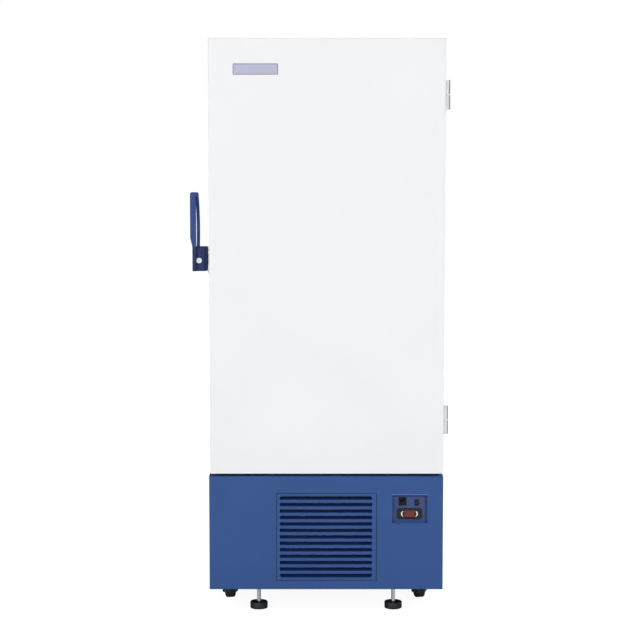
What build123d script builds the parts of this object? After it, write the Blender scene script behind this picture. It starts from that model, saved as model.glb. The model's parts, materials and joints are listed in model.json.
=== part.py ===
from build123d import *
import math
import os

# Ultra low temperature freezer: an upright insulated cabinet on a machine base.
# All sizes are millimetres. While it is drawn, X runs from the cabinet's middle to
# the right, Y runs back from the door's front face and Z runs up from the floor.
# Each piece is moved to the centre of the whole object's footprint as it is saved.

# Cabinet
cabinet_width = 800.0
overall_height = 1954.0
rear_y = 880.0
sheet = 1.5
flange_width = 22.0
side_wall = 132.5
top_wall = 120.0
floor_wall = 116.5
rear_wall = 132.0
liner_sheet = 1.5
breaker_depth = 5.0
roof_cover_left = -325.0
roof_cover_length = 103.0
roof_cover_slope = 14.0
roof_cover_height = 9.0
roof_cover_setback = 20.0
roof_cover_depth = 170.0

# Machine base
base_bottom = 81.0
base_height = 393.0
pan_sheet = 3.0
angle_leg = 30.0
angle_sheet = 3.0
front_edge_radius = 4.0
vent_columns = (-150.0, 150.0)
vent_length = 180.0
vent_height = 16.0
vent_pitch = 30.0
vent_rows = 9
vent_rise = 49.0

# Mains inlet in the base's rear sheet
inlet_side_inset = 80.0
inlet_rise = 69.0
inlet_width = 28.0
inlet_height = 24.0
inlet_depth = 28.0
inlet_flange = 2.5
inlet_rim = 5.0
inlet_wall = 3.0
inlet_mouth_depth = 18.0
inlet_pin_spread = 6.0
inlet_pin_step = 2.0
inlet_pin_size = (2.0, 5.0)
inlet_pin_setback = 4.0

# Outer door
door_width = 795.0
door_thickness = 88.0
door_gap = 8.6
gasket_gap = 12.0
gasket_width = 22.0
gasket_squeeze_clearance = 0.3
gasket_inset = 44.0
gasket_taper = 4.0
door_skin_sheet = 1.5
door_edge_radius = 3.5
door_liner_sheet = 2.0
door_field_rise = 5.0
door_field_slope = 4.0
door_field_inset = 92.0
door_field_split = 50.0

# Door hinges
hinge_reach = 14.0
hinge_radius = 8.0
hinge_pin_radius = 4.0
hinge_pin_cover = 8.0
hinge_pin_spare = 4.0
hinge_leaf_height = 100.0
hinge_leaf_length = 50.0
hinge_leaf_sheet = 4.0
hinge_leaf_radius = 6.0
hinge_bottom_inset = 173.4
hinge_top_inset = 184.0
hinge_split = 0.6

# Handle: the lever's grip, its stem and the block that holds the lock
handle_side_gap = 11.0
handle_block_width = 40.0
handle_bottom = 1175.0
handle_block_height = 82.0
handle_block_front = 2.0
handle_block_back = 62.0
handle_block_radius = 3.0
handle_stem_width = 13.0
grip_overhang = 7.0
grip_width = 19.5
grip_front = -10.0
grip_depth = 17.0
grip_length = 184.0
grip_taper = 31.0
grip_top_radius = 8.75
grip_edge_radius = 3.0
rear_grip_side_inset = 14.5
rear_grip_width = 10.6
rear_grip_depth = 12.0
rear_grip_bow = 62.0
rear_grip_inset = 8.0
rear_grip_root = 6.0
rear_grip_drop = 4.0

# Latch
pivot_inset = 17.0
pivot_rise = 36.0
pivot_radius = 5.0
pivot_boss_radius = 10.0
pivot_blind = 6.0
hook_sheet = 8.5
hook_height = 24.0
hook_slope = 18.0
hook_front_inset = 10.0
hook_past_keeper = 14.0
hook_clearance = 1.0
keeper_setback = 22.0
keeper_drop = 15.0
keeper_pin_radius = 5.0
keeper_pin_head = 2.0
keeper_plate_sheet = 2.0
keeper_plate_size = (40.0, 60.0)
keeper_plate_radius = 5.0
bracket_sheet = 3.0
bracket_size = (66.0, 92.0)
bracket_radius = 8.0

# Lock in the lever's block
lock_inset = 18.0
lock_rise = 35.7
lock_flange_radius = 9.0
lock_flange_sheet = 2.0
lock_body_radius = 7.0
lock_plug_radius = 4.5
lock_depth = 26.0
lock_floor = 5.0
key_slot = (1.6, 6.0)
key_slot_depth = 7.0

# Inner doors, the frame they close on, and the shelves
inner_door_thickness = 28.0
inner_door_setback = 8.0
inner_door_clearance = 3.0
inner_door_edge_radius = 2.0
inner_door_rim = 34.0
inner_door_recess = 2.5
inner_gasket_depth = 4.0
inner_gasket_width = 12.0
inner_gasket_inset = 2.0
inner_frame_width = 24.0
inner_frame_sheet = 3.0
centre_rail_height = 30.0
inner_pin_radius = 3.0
inner_pin_inset = 10.0
inner_pin_setback = 5.5
inner_pin_length = 6.0
inner_pin_spare = 1.0
pull_inset = 40.0
pull_size = (36.0, 120.0)
pull_depth = 12.0
pull_radius = 8.0
shelf_count = 3
shelf_sheet = 1.5
shelf_lip = 14.0
shelf_side_lip = 8.0
shelf_side_lip_inset = 60.0
shelf_setback = 60.0
shelf_side_clearance = 6.0
shelf_back_clearance = 8.0
upright_width = 20.0
upright_depth = 3.5
upright_end_clearance = 6.0
upright_front_inset = 90.0
upright_rear_inset = 120.0
clip_reach = 14.0
clip_height = 8.0

# Evaporator wound round the liner, inside the insulation
evaporator_turns = 8
evaporator_front_inset = 60.0
evaporator_end_inset = 90.0
tube_flat_width = 12.0
tube_flat_depth = 7.0

# Grille in the base front
grille_centre_x = 1.0
grille_rise = 31.0
grille_width = 344.0
grille_height = 304.4
grille_groove = 2.0
grille_corner_radius = 2.0
grille_opening_shift = -1.8
grille_side_border = 12.5
grille_end_border = 8.9
grille_opening_radius = 8.5
grille_sheet = 2.0
grille_ledge = 8.0
grille_pocket_depth = 2.3
grille_pocket_wall = 2.0
blade_count = 12
blade_lip = 9.0
blade_sheet = 1.4
blade_reach = 14.0
blade_rise = 8.5
blade_root = 0.5

# Switch recess in the base front
tray_gap = 53.0
tray_width = 119.7
tray_rise = 230.0
tray_height = 97.5
tray_depth = 18.0
tray_sheet = 1.5
tray_flange = 8.0
tray_radius = 4.0
bezel_lap = 3.0
socket_place = (35.8, 73.5)
socket_size = (26.6, 29.0)
socket_rim = 2.0
socket_length = 18.0
socket_mouth = (16.0, 12.0)
socket_mouth_rise = 5.0
socket_mouth_depth = 11.0
bezel_place = (59.3, 30.4)
bezel_size = (84.8, 37.8)
bezel_rim = 4.0
bezel_radius = 5.0
power_rocker_size = (37.4, 23.5)
power_rocker_rise = 6.0
small_rocker_place = (84.5, 68.9)
small_bezel_size = (14.7, 20.4)
small_bezel_rim = 2.0
small_bezel_lap = 1.5
small_rocker_size = (9.6, 15.2)
small_rocker_rise = 4.0
rocker_housing_depth = 14.0
rocker_pivot_depth = 3.0
rocker_gap = 0.4
rocker_dish = 1.2
rocker_pin_radius = 1.2
rocker_pin_root = 1.0

# Levelling feet
foot_side_inset = 167.0
foot_y = 70.0
foot_pad_radius = 30.0
foot_pad_height = 18.0
foot_pad_rim = 7.0
foot_pad_shoulder = 11.0
foot_pad_neck_radius = 12.0
foot_pad_neck = 15.0
foot_socket_floor = 8.0
foot_stem_radius = 6.7
foot_stem_above_base = 30.0
foot_nut_radius = 12.0
foot_nut_height = 7.0

# Casters
caster_side_inset = 64.0
caster_front_inset = 100.0
caster_rear_inset = 95.0
caster_trail = 18.0
caster_turns = (14.0, 14.0, -20.0, 35.0)
wheel_radius = 25.0
wheel_width = 32.0
wheel_bore_radius = 4.0
wheel_hub_radius = 10.0
wheel_web_inset = 3.0
wheel_rim = 7.0
wheel_crown = 4.0
caster_plate_sheet = 3.0
caster_plate_size = (68.0, 60.0)
caster_plate_radius = 5.0
caster_slot_size = (12.0, 7.0)
caster_slot_inset = 10.0
kingpin_radius = 6.0
caster_crown_radius = 27.5
caster_crown_height = 7.0
caster_crown_chamfer = 2.0
fork_sheet = 3.0
fork_gap = 1.5
fork_root = (-18.0, 24.0)
fork_tip_half = 9.0
axle_head = 2.0

# Condenser, and the fan that draws air through it
condenser_front_y = 40.0
condenser_half_width = 168.0
condenser_low = 16.0
condenser_height = 292.0
condenser_tubes = 11
condenser_tube_size = (20.0, 3.0)
condenser_fin_depth = 16.0
header_radius = 12.0
shroud_gap = 58.0
shroud_sheet = 1.5
shroud_half_width = 178.0
shroud_height = 316.0
shroud_ring_depth = 40.0
fan_centre_rise = 166.0
fan_radius = 110.0
fan_tip_gap = 6.0
fan_blade_count = 5
fan_blade_sheet = 2.0
fan_blade_root = 18.0
fan_blade_tip = 33.0
fan_blade_pitch = 30.0
fan_blade_inset = 24.0
fan_hub_radius = 26.0
fan_hub_length = 32.0
fan_hub_inset = 8.0
fan_shaft_radius = 4.0
fan_shaft_length = 36.0
motor_radius = 38.0
motor_length = 62.0
motor_inset = 48.0
motor_bore_depth = 30.0
motor_chamfer = 4.0
motor_arm_size = (12.0, 4.0)
motor_arm_angles = (90.0, 210.0, 330.0)
motor_arm_foot = 6.0

# Compressors
compressor_setback = 260.0
compressor_mount_height = 14.0
compressor_mount_radius = 9.0
compressor_mount_inset = 14.0
compressor_plate = 3.0
compressor_seam_height = 8.0
compressor_seam_reach = 3.0
terminal_size = (48.0, 16.0, 64.0)
terminal_rise = 66.0
first_stage_x = -200.0
first_stage_radius = 92.0
first_stage_height = 200.0
second_stage_x = 60.0
second_stage_radius = 84.0
second_stage_height = 180.0

# Control box on the pan, and the refrigerant lines
control_box_side_gap = 26.5
control_box_front_gap = 130.0
control_box_size = (136.0, 190.0, 190.0)
control_box_radius = 6.0
line_radius = 5.0
line_bend = 12.0
hot_line_drop = 129.0
cold_line_drop = 134.0
cold_line_run = 180.0
drier_radius = 14.0
drier_offset = 24.0
drier_lead = 90.0
drier_length = 110.0

# Running fit between a pin and its bore, the gap between pieces that pass each
# other, the gap round a piece pushed into its hole, and how far a cut runs past a face
running = 0.05
passing = 0.3
push_fit = 0.1
past = 1.0

half_width = cabinet_width / 2
inner_x = half_width - sheet
flange_x = half_width - flange_width
base_top = base_bottom + base_height
machine_floor = base_bottom + pan_sheet
compressor_floor = machine_floor + compressor_mount_height
door_right = half_width
door_left = door_right - door_width
door_bottom = base_top + door_gap
cabinet_front = door_thickness + gasket_gap
hinge_x = half_width + hinge_reach
hinge_y = door_thickness + gasket_gap / 2
hinge_heights = (door_bottom + hinge_bottom_inset, overall_height - hinge_top_inset)
liner_x = half_width - side_wall
liner_floor = base_top + floor_wall
liner_top = overall_height - top_wall
liner_rear = rear_y - rear_wall
liner_front = cabinet_front + breaker_depth
middle_z = (liner_floor + liner_top) / 2
inner_door_front = cabinet_front + inner_door_setback
inner_door_back = inner_door_front + inner_door_thickness
inner_frame_front = inner_door_back + inner_gasket_depth
inner_frame_back = inner_frame_front + inner_frame_sheet
inner_pin_x = liner_x - inner_pin_inset
inner_pin_y = inner_door_front + inner_pin_setback
upper_door_low = middle_z + inner_door_clearance / 2
upper_door_high = liner_top - inner_door_clearance
lower_door_low = liner_floor + inner_door_clearance
lower_door_high = middle_z - inner_door_clearance / 2
shelf_front = liner_front + shelf_setback
pivot_y = handle_block_back - pivot_inset
pivot_z = handle_bottom + pivot_rise
keeper_y = cabinet_front + keeper_setback
keeper_z = pivot_z - keeper_drop
handle_right = -half_width - handle_side_gap
handle_left = handle_right - handle_block_width
handle_block_top = handle_bottom + handle_block_height
grip_left = handle_left - grip_overhang
grip_taper_top = handle_block_top + grip_taper
grip_top = handle_block_top + grip_length
rear_grip_left = grip_left + rear_grip_side_inset
lock_x = handle_right - lock_inset
lock_z = handle_bottom + lock_rise
hook_left = handle_right
hook_right = hook_left + hook_sheet
grille_bottom = base_bottom + grille_rise
grille_middle_z = grille_bottom + grille_height / 2
tray_left = grille_centre_x + grille_width / 2 + tray_gap
tray_bottom = base_bottom + tray_rise
tray_back = tray_depth + tray_sheet
socket_centre = (tray_left + socket_place[0], tray_bottom + socket_place[1])
bezel_centre = (tray_left + bezel_place[0], tray_bottom + bezel_place[1])
small_rocker_centre = (tray_left + small_rocker_place[0], tray_bottom + small_rocker_place[1])
rocker_pivot_y = tray_depth + rocker_pivot_depth
inlet_x = half_width - inlet_side_inset
inlet_z = base_bottom + inlet_rise
foot_x = half_width - foot_side_inset
caster_x = half_width - caster_side_inset
plate_bottom = base_bottom - caster_plate_sheet
crown_top = plate_bottom - passing
crown_bottom = crown_top - caster_crown_height
shroud_y = condenser_front_y + 2 * header_radius + shroud_gap
shroud_top = machine_floor + shroud_height
fan_y = shroud_y + fan_hub_inset
fan_centre_z = machine_floor + fan_centre_rise
motor_y = shroud_y + motor_inset
compressor_y = rear_y - compressor_setback
hot_line_z = base_top - hot_line_drop
cold_line_z = base_top - cold_line_drop

left_reach = grip_left
right_reach = hinge_x + hinge_radius
shift = Pos(
    -(left_reach + right_reach) / 2,
    -(grip_front + rear_y + inlet_flange) / 2,
    0,
)


def block(x0, x1, y0, y1, z0, z1):
    """A box between two corners."""
    middle = Pos((x0 + x1) / 2, (y0 + y1) / 2, (z0 + z1) / 2)
    return middle * Box(x1 - x0, y1 - y0, z1 - z0)


def rod_x(x0, x1, y, z, radius):
    """A round rod along X."""
    lying = Rot(0, 90, 0) * Cylinder(radius, x1 - x0)
    return Pos((x0 + x1) / 2, y, z) * lying


def rod_y(x, y0, y1, z, radius):
    """A round rod along Y."""
    lying = Rot(90, 0, 0) * Cylinder(radius, y1 - y0)
    return Pos(x, (y0 + y1) / 2, z) * lying


def rod_z(x, y, z0, z1, radius):
    """A round rod along Z."""
    return Pos(x, y, (z0 + z1) / 2) * Cylinder(radius, z1 - z0)


def profile_x(points, x0, x1):
    """A profile of (y, z) points run along X."""
    face = Plane.YZ.offset(x0) * Polygon(*points)
    return extrude(face, amount=x1 - x0, dir=(1, 0, 0))


def profile_y(points, y0, y1):
    """A profile of (x, z) points run along Y."""
    face = Plane.XZ.offset(-y0) * Polygon(*points)
    return extrude(face, amount=y1 - y0, dir=(0, 1, 0))


def profile_z(points, z0, z1):
    """A profile of (x, y) points run along Z."""
    face = Plane.XY.offset(z0) * Polygon(*points)
    return extrude(face, amount=z1 - z0, dir=(0, 0, 1))


def turned(points, rounded=()):
    """A profile of (radius, z) points revolved about Z, some corners rounded."""
    face = Plane.XZ * Polygon(*points)
    for index, radius in rounded:
        x, z = points[index]
        corner = face.vertices().sort_by_distance((x, 0, z))[0]
        face = fillet(corner, radius)
    return revolve(face, Axis.Z)


def rounded_y(x0, x1, y0, y1, z0, z1, radius):
    """A box whose four edges along Y are rounded."""
    body = block(x0, x1, y0, y1, z0, z1)
    return fillet(body.edges().filter_by(Axis.Y), radius)


def plate_on_side(x0, x1, y, z, size, radius):
    """An upright plate that faces sideways, with rounded corners."""
    plate = block(x0, x1, y - size[0] / 2, y + size[0] / 2, z - size[1] / 2, z + size[1] / 2)
    return fillet(plate.edges().filter_by(Axis.X), radius)


def mirrored(piece):
    """The same piece on the other side of the cabinet's middle plane."""
    return mirror(piece, Plane.YZ)


def save(name, *pieces):
    """Write one sub-part, as one solid or as a group of separate ones."""
    solids = [solid for piece in pieces for solid in piece.solids()]
    shape = solids[0] if len(solids) == 1 else Compound(solids)
    export_step(shift * shape, f"parts/{name}.step")


# Cabinet shell

def side_panel():
    """Right outer side sheet with the flange that frames the opening."""
    wall = block(inner_x, half_width, cabinet_front, rear_y, base_top, overall_height)
    return wall + block(
        flange_x, inner_x, cabinet_front, cabinet_front + sheet, base_top, overall_height,
    )


def top_panel():
    """Roof sheet with its front flange and the hole for the cover."""
    roof = block(
        -inner_x, inner_x, cabinet_front + sheet, rear_y - sheet,
        overall_height - sheet, overall_height,
    )
    cover_front = cabinet_front + roof_cover_setback
    roof -= block(
        roof_cover_left - push_fit, roof_cover_left + roof_cover_length + push_fit,
        cover_front - push_fit, cover_front + roof_cover_depth + push_fit,
        overall_height - sheet - past, overall_height + past,
    )
    return roof + block(
        -flange_x, flange_x, cabinet_front, cabinet_front + sheet,
        overall_height - flange_width, overall_height,
    )


def rear_panel():
    """Rear sheet of the insulated cabinet."""
    return block(-inner_x, inner_x, rear_y - sheet, rear_y, base_top + sheet, overall_height)


def deck_panel():
    """Floor sheet of the insulated cabinet, with its front flange."""
    deck = block(
        -inner_x, inner_x, cabinet_front + sheet, rear_y, base_top, base_top + sheet,
    )
    return deck + block(
        -flange_x, flange_x, cabinet_front, cabinet_front + sheet,
        base_top, base_top + flange_width,
    )


def roof_cover():
    """Low closed cover let into the roof, sloped at its right end."""
    low = overall_height - sheet
    high = overall_height + roof_cover_height
    right = roof_cover_left + roof_cover_length
    front = cabinet_front + roof_cover_setback
    outline = [
        (roof_cover_left, low), (roof_cover_left, high),
        (right - roof_cover_slope, high), (right, overall_height), (right, low),
    ]
    return profile_y(outline, front, front + roof_cover_depth)


def evaporator_turn(z):
    """One turn of flat tube round the two sides and the back of the liner."""
    wall_x = liner_x + liner_sheet
    wall_y = liner_rear + liner_sheet
    front = liner_front + evaporator_front_inset
    outer = block(
        -wall_x - tube_flat_depth, wall_x + tube_flat_depth,
        front, wall_y + tube_flat_depth, z, z + tube_flat_width,
    )
    return outer - block(
        -wall_x, wall_x, front - past, wall_y, z - past, z + tube_flat_width + past,
    )


def evaporator_coil():
    """Flat tubes round the liner, joined by a riser at the back."""
    first = liner_floor + evaporator_end_inset
    last = liner_top - evaporator_end_inset
    step = (last - first) / (evaporator_turns - 1)
    wall_y = liner_rear + liner_sheet
    coil = block(
        -tube_flat_width, tube_flat_width, wall_y, wall_y + tube_flat_depth,
        base_top + sheet, last,
    )
    for i in range(evaporator_turns):
        coil += evaporator_turn(first + i * step)
    return coil


def cabinet_foam():
    """Insulation that fills the walls between the outer sheets and the liner."""
    foam = block(
        -inner_x, inner_x, cabinet_front + sheet, rear_y - sheet,
        base_top + sheet, overall_height - sheet,
    )
    hole_x = liner_x + liner_sheet
    foam -= block(
        -hole_x, hole_x, cabinet_front, liner_rear + liner_sheet,
        liner_floor - liner_sheet, liner_top + liner_sheet,
    )
    foam -= block(
        -flange_x, flange_x, cabinet_front, liner_front,
        base_top + flange_width, overall_height - flange_width,
    )
    return foam - evaporator_coil()


def inner_liner():
    """Five sheets that line the cold chamber."""
    outer_x = liner_x + liner_sheet
    low = liner_floor - liner_sheet
    high = liner_top + liner_sheet
    side = block(liner_x, outer_x, liner_front, liner_rear, liner_floor, liner_top)
    top = block(-outer_x, outer_x, liner_front, liner_rear, liner_top, high)
    floor = block(-outer_x, outer_x, liner_front, liner_rear, low, liner_floor)
    rear = block(-outer_x, outer_x, liner_rear, liner_rear + liner_sheet, low, high)
    return [side, mirrored(side), top, floor, rear]


def breaker_frame():
    """Four plastic strips that close the insulation round the opening."""
    low = base_top + flange_width
    high = overall_height - flange_width
    side = block(liner_x, flange_x, cabinet_front, liner_front, liner_floor, liner_top)
    top = block(-flange_x, flange_x, cabinet_front, liner_front, liner_top, high)
    bottom = block(-flange_x, flange_x, cabinet_front, liner_front, low, liner_floor)
    return [side, mirrored(side), top, bottom]


# Inner frame, inner doors and shelves

def inner_hinge_pin(z_low, z_high):
    """A short pin that an inner door turns on."""
    return rod_z(inner_pin_x, inner_pin_y, z_low, z_high, inner_pin_radius)


def middle_bracket():
    """The arm between the inner doors, with a pin up and a pin down."""
    height = inner_door_clearance - 2 * passing
    arm = block(
        inner_pin_x - inner_pin_radius, liner_x, inner_pin_y - inner_pin_radius,
        inner_frame_front, middle_z - height / 2, middle_z + height / 2,
    )
    return arm + inner_hinge_pin(middle_z - inner_pin_length, middle_z + inner_pin_length)


def inner_frame():
    """Stop frame for the inner doors, its middle rail and ledge, and the pins."""
    inside = liner_x - inner_frame_width
    front, back = inner_frame_front, inner_frame_back
    side = block(inside, liner_x, front, back, liner_floor, liner_top)
    top = block(-inside, inside, front, back, liner_top - inner_frame_width, liner_top)
    bottom = block(-inside, inside, front, back, liner_floor, liner_floor + inner_frame_width)
    rail_low = middle_z - centre_rail_height / 2
    rail = block(-inside, inside, front, back, rail_low, rail_low + centre_rail_height)
    rail += block(-inside, inside, back, shelf_front - passing, middle_z - shelf_lip, middle_z)
    pins = [
        inner_hinge_pin(upper_door_high - inner_pin_length, liner_top),
        inner_hinge_pin(liner_floor, lower_door_low + inner_pin_length),
    ]
    return [side + middle_bracket(), mirrored(side), top, bottom, rail, *pins]


def inner_door(low, high):
    """Insulated inner door with a cup pull, bored at its right corners for the pins."""
    left = -liner_x + inner_door_clearance
    right = liner_x - inner_door_clearance
    front = inner_door_front
    door = block(left, right, front, inner_door_back, low, high)
    edges = door.edges().filter_by(Axis.Z).group_by(Axis.Y)[0]
    door = fillet(edges, inner_door_edge_radius)
    rim = inner_door_rim
    door -= rounded_y(
        left + rim, right - rim, front - past, front + inner_door_recess,
        low + rim, high - rim, pull_radius,
    )
    bore_depth = inner_pin_length + inner_pin_spare
    bore_radius = inner_pin_radius + running
    door -= rod_z(inner_pin_x, inner_pin_y, low - past, low + bore_depth, bore_radius)
    door -= rod_z(inner_pin_x, inner_pin_y, high - bore_depth, high + past, bore_radius)
    pull_z = (low + high) / 2
    return door - rounded_y(
        left + pull_inset, left + pull_inset + pull_size[0], front - past, front + pull_depth,
        pull_z - pull_size[1] / 2, pull_z + pull_size[1] / 2, pull_radius,
    )


def inner_gasket(low, high):
    """Flat seal on the back of an inner door."""
    back = inner_frame_front - passing
    low_z = low + inner_gasket_inset
    high_z = high - inner_gasket_inset
    w = inner_gasket_width
    ring = block(-inner_pin_x, inner_pin_x, inner_door_back, back, low_z, high_z)
    return ring - block(
        -inner_pin_x + w, inner_pin_x - w, inner_door_back - past, back + past,
        low_z + w, high_z - w,
    )


def shelf(z):
    """Bent sheet shelf with a lip turned down along each side."""
    x = liner_x - shelf_side_clearance
    back = liner_rear - shelf_back_clearance
    plate = block(-x, x, shelf_front, back, z - shelf_sheet, z)
    plate += block(-x, x, shelf_front, shelf_front + shelf_sheet, z - shelf_lip, z)
    plate += block(-x, x, back - shelf_sheet, back, z - shelf_lip, z)
    side_lip = block(
        x - shelf_sheet, x, shelf_front + shelf_side_lip_inset, back - shelf_side_lip_inset,
        z - shelf_side_lip, z,
    )
    return plate + side_lip + mirrored(side_lip)


def shelf_levels():
    """Heights of the shelves' upper faces."""
    step = (liner_top - liner_floor) / (shelf_count + 1)
    return [liner_floor + step * (i + 1) for i in range(shelf_count)]


def shelf_supports():
    """Four uprights on the liner's sides, each with a clip under every shelf."""
    uprights = []
    for y in (shelf_front + upright_front_inset, liner_rear - upright_rear_inset):
        upright = block(
            liner_x - upright_depth, liner_x, y, y + upright_width,
            liner_floor + upright_end_clearance, liner_top - upright_end_clearance,
        )
        for z in shelf_levels():
            under = z - shelf_side_lip
            upright += block(
                liner_x - clip_reach, liner_x, y, y + upright_width, under - clip_height, under,
            )
        uprights += [upright, mirrored(upright)]
    return uprights


# Outer door

def door_skin():
    """Painted steel tray that forms the door's front and edges."""
    skin = block(door_left, door_right, 0, door_thickness, door_bottom, overall_height)
    front_edges = skin.faces().sort_by(Axis.Y)[0].edges()
    skin = fillet(front_edges, door_edge_radius)
    return skin - door_hollow(door_skin_sheet, door_thickness + past)


def door_hollow(y0, y1):
    """The space inside the door skin between two depths."""
    t = door_skin_sheet
    return block(door_left + t, door_right - t, y0, y1, door_bottom + t, overall_height - t)


def door_foam():
    """Insulation between the door's skin and its liner."""
    return door_hollow(door_skin_sheet, door_thickness - door_liner_sheet)


def door_liner():
    """Moulded inner sheet of the door, with two raised fields inside the seal."""
    liner = door_hollow(door_thickness - door_liner_sheet, door_thickness)
    low = door_bottom + door_field_inset
    high = overall_height - door_field_inset
    split = door_field_split / 2
    for z0, z1 in ((low, middle_z - split), (middle_z + split, high)):
        field = block(
            door_left + door_field_inset, door_right - door_field_inset,
            door_thickness, door_thickness + door_field_rise, z0, z1,
        )
        liner += chamfer(field.faces().sort_by(Axis.Y)[-1].edges(), door_field_slope)
    return liner


def door_gasket():
    """Magnetic seal ring between the door and the cabinet's front."""
    back = cabinet_front - gasket_squeeze_clearance
    i = gasket_inset
    w = gasket_inset + gasket_width
    ring = block(
        door_left + i, door_right - i, door_thickness, back, door_bottom + i, overall_height - i,
    )
    ring -= block(
        door_left + w, door_right - w, door_thickness - past, back + past,
        door_bottom + w, overall_height - w,
    )
    return chamfer(ring.faces().sort_by(Axis.Y)[-1].edges(), gasket_taper)


# Hinges

def hinge_leaf(middle, on_door):
    """A leaf with a half-height knuckle; the cabinet's leaf also carries the pin."""
    low = middle - hinge_leaf_height / 2
    high = middle + hinge_leaf_height / 2
    if on_door:
        y0, y1 = hinge_y - hinge_leaf_length, hinge_y - hinge_radius / 2
        z0, z1 = middle + hinge_split / 2, high
        web_y0, web_y1 = y1 - hinge_leaf_sheet, y1
    else:
        y0, y1 = hinge_y + hinge_radius / 2, hinge_y + hinge_leaf_length
        z0, z1 = low, middle - hinge_split / 2
        web_y0, web_y1 = y0, y0 + hinge_leaf_sheet
    leaf = plate_on_side(
        half_width, half_width + hinge_leaf_sheet, (y0 + y1) / 2, middle,
        (y1 - y0, hinge_leaf_height), hinge_leaf_radius,
    )
    knuckle = rod_z(hinge_x, hinge_y, z0, z1, hinge_radius)
    leaf += block(half_width, hinge_x, web_y0, web_y1, z0, z1) + knuckle
    if on_door:
        bore_top = high - hinge_pin_cover
        return leaf - rod_z(hinge_x, hinge_y, z0 - past, bore_top, hinge_pin_radius + running)
    pin_top = high - hinge_pin_cover - hinge_pin_spare
    return leaf + rod_z(hinge_x, hinge_y, z1 - past, pin_top, hinge_pin_radius)


# Handle and latch

def grip_bar():
    """The lever's upright front bar, tapered out from the stem to the grip."""
    left = handle_left
    grip_right = grip_left + grip_width
    outline = [
        (left, handle_bottom),
        (left, handle_block_top),
        (grip_left, grip_taper_top),
        (grip_left, grip_top),
        (grip_right, grip_top),
        (grip_right, handle_block_top),
        (left + handle_stem_width, handle_block_top),
        (left + handle_stem_width, handle_bottom),
    ]
    bar = profile_y(outline, grip_front, grip_front + grip_depth)
    top_edges = bar.edges().filter_by(Axis.Y).group_by(Axis.Z)[-1]
    bar = fillet(top_edges, grip_top_radius)
    return fillet(bar.faces().sort_by(Axis.Y)[0].edges(), grip_edge_radius)


def rear_grip():
    """The bowed bar behind the grip, closing its loop."""
    low = handle_block_top - rear_grip_root
    high = grip_top - rear_grip_drop
    middle = (low + high) / 2 - rear_grip_inset
    base_back = handle_block_back - rear_grip_inset
    base_front = base_back - rear_grip_depth
    top_y = grip_front + grip_depth / 2
    outer = Spline((base_back, low), (rear_grip_bow, middle), (top_y, high))
    inner = Spline(
        (base_front, low), (rear_grip_bow - rear_grip_depth, middle), (top_y, high - rear_grip_depth),
    )
    closed = outer + Line(outer @ 1, inner @ 1) + inner + Line(inner @ 0, outer @ 0)
    face = Plane.YZ.offset(rear_grip_left) * make_face(closed)
    return extrude(face, amount=rear_grip_width, dir=(1, 0, 0))


def handle_lever():
    """Grip loop, stem and lock block, cast in one."""
    left, right = handle_left, handle_right
    front = handle_block_front
    body = block(left, right, front, handle_block_back, handle_bottom, handle_block_top)
    body = fillet(body.edges().filter_by(Axis.X), handle_block_radius)
    lever = grip_bar() + body + rear_grip()
    lever -= rod_x(left + pivot_blind, right + past, pivot_y, pivot_z, pivot_radius + running)
    return lever - rod_y(
        lock_x, front - past, front + lock_depth, lock_z, lock_body_radius + running,
    )


def latch_hook():
    """Flat arm that reaches back from the lever, over the keeper pin."""
    under = keeper_z + keeper_pin_radius + hook_clearance
    over = under + hook_height
    front = handle_block_front + hook_front_inset
    back = handle_block_back
    hook_back = keeper_y + hook_past_keeper
    outline = [
        (front, handle_bottom), (front, handle_block_top), (back, handle_block_top),
        (back + hook_slope, over), (hook_back, over), (hook_back, under),
        (back + hook_slope, under), (back, handle_bottom),
    ]
    arm = profile_x(outline, hook_left, hook_right)
    bore = rod_x(hook_left - past, hook_right + past, pivot_y, pivot_z, pivot_radius + running)
    return arm - bore


def handle_bracket():
    """Plate on the door's edge with the boss and pin that the lever turns on."""
    plate_left = door_left - bracket_sheet
    plate = plate_on_side(plate_left, door_left, pivot_y, pivot_z, bracket_size, bracket_radius)
    boss_end = hook_right + passing
    boss = rod_x(boss_end, plate_left, pivot_y, pivot_z, pivot_boss_radius)
    pin_end = handle_left + pivot_blind + 2 * past
    return plate + boss + rod_x(pin_end, boss_end, pivot_y, pivot_z, pivot_radius)


def lock_cylinder():
    """Flanged lock barrel in the lever's front."""
    front = handle_block_front
    flange_front = front - lock_flange_sheet
    flange = rod_y(lock_x, flange_front, front, lock_z, lock_flange_radius)
    barrel = rod_y(lock_x, front, front + lock_depth - past, lock_z, lock_body_radius)
    bore_end = front + lock_depth - past - lock_floor
    bore_radius = lock_plug_radius + running
    return flange + barrel - rod_y(lock_x, flange_front - past, bore_end, lock_z, bore_radius)


def lock_plug():
    """Turning plug with a key slot."""
    front = handle_block_front - lock_flange_sheet
    back = handle_block_front + lock_depth - past - lock_floor - passing
    plug = rod_y(lock_x, front, back, lock_z, lock_plug_radius)
    w, h = key_slot[0] / 2, key_slot[1] / 2
    return plug - block(
        lock_x - w, lock_x + w, front - past, front + key_slot_depth, lock_z - h, lock_z + h,
    )


def latch_keeper():
    """Plate on the cabinet's side with the pin that the hook reaches over."""
    x0 = -half_width - keeper_plate_sheet
    plate_y = cabinet_front + keeper_plate_size[0] / 2 + keeper_plate_radius
    plate = plate_on_side(x0, -half_width, plate_y, keeper_z, keeper_plate_size, keeper_plate_radius)
    pin = rod_x(hook_left - keeper_pin_head, x0, keeper_y, keeper_z, keeper_pin_radius)
    return plate + pin


# Front of the machine base

def grille_pocket(y0, y1, grow=0.0):
    """The grille's place in the base front between two depths."""
    half = grille_width / 2 + grow
    return block(
        grille_centre_x - half, grille_centre_x + half, y0, y1,
        grille_bottom - grow, grille_bottom + grille_height + grow,
    )


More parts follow.
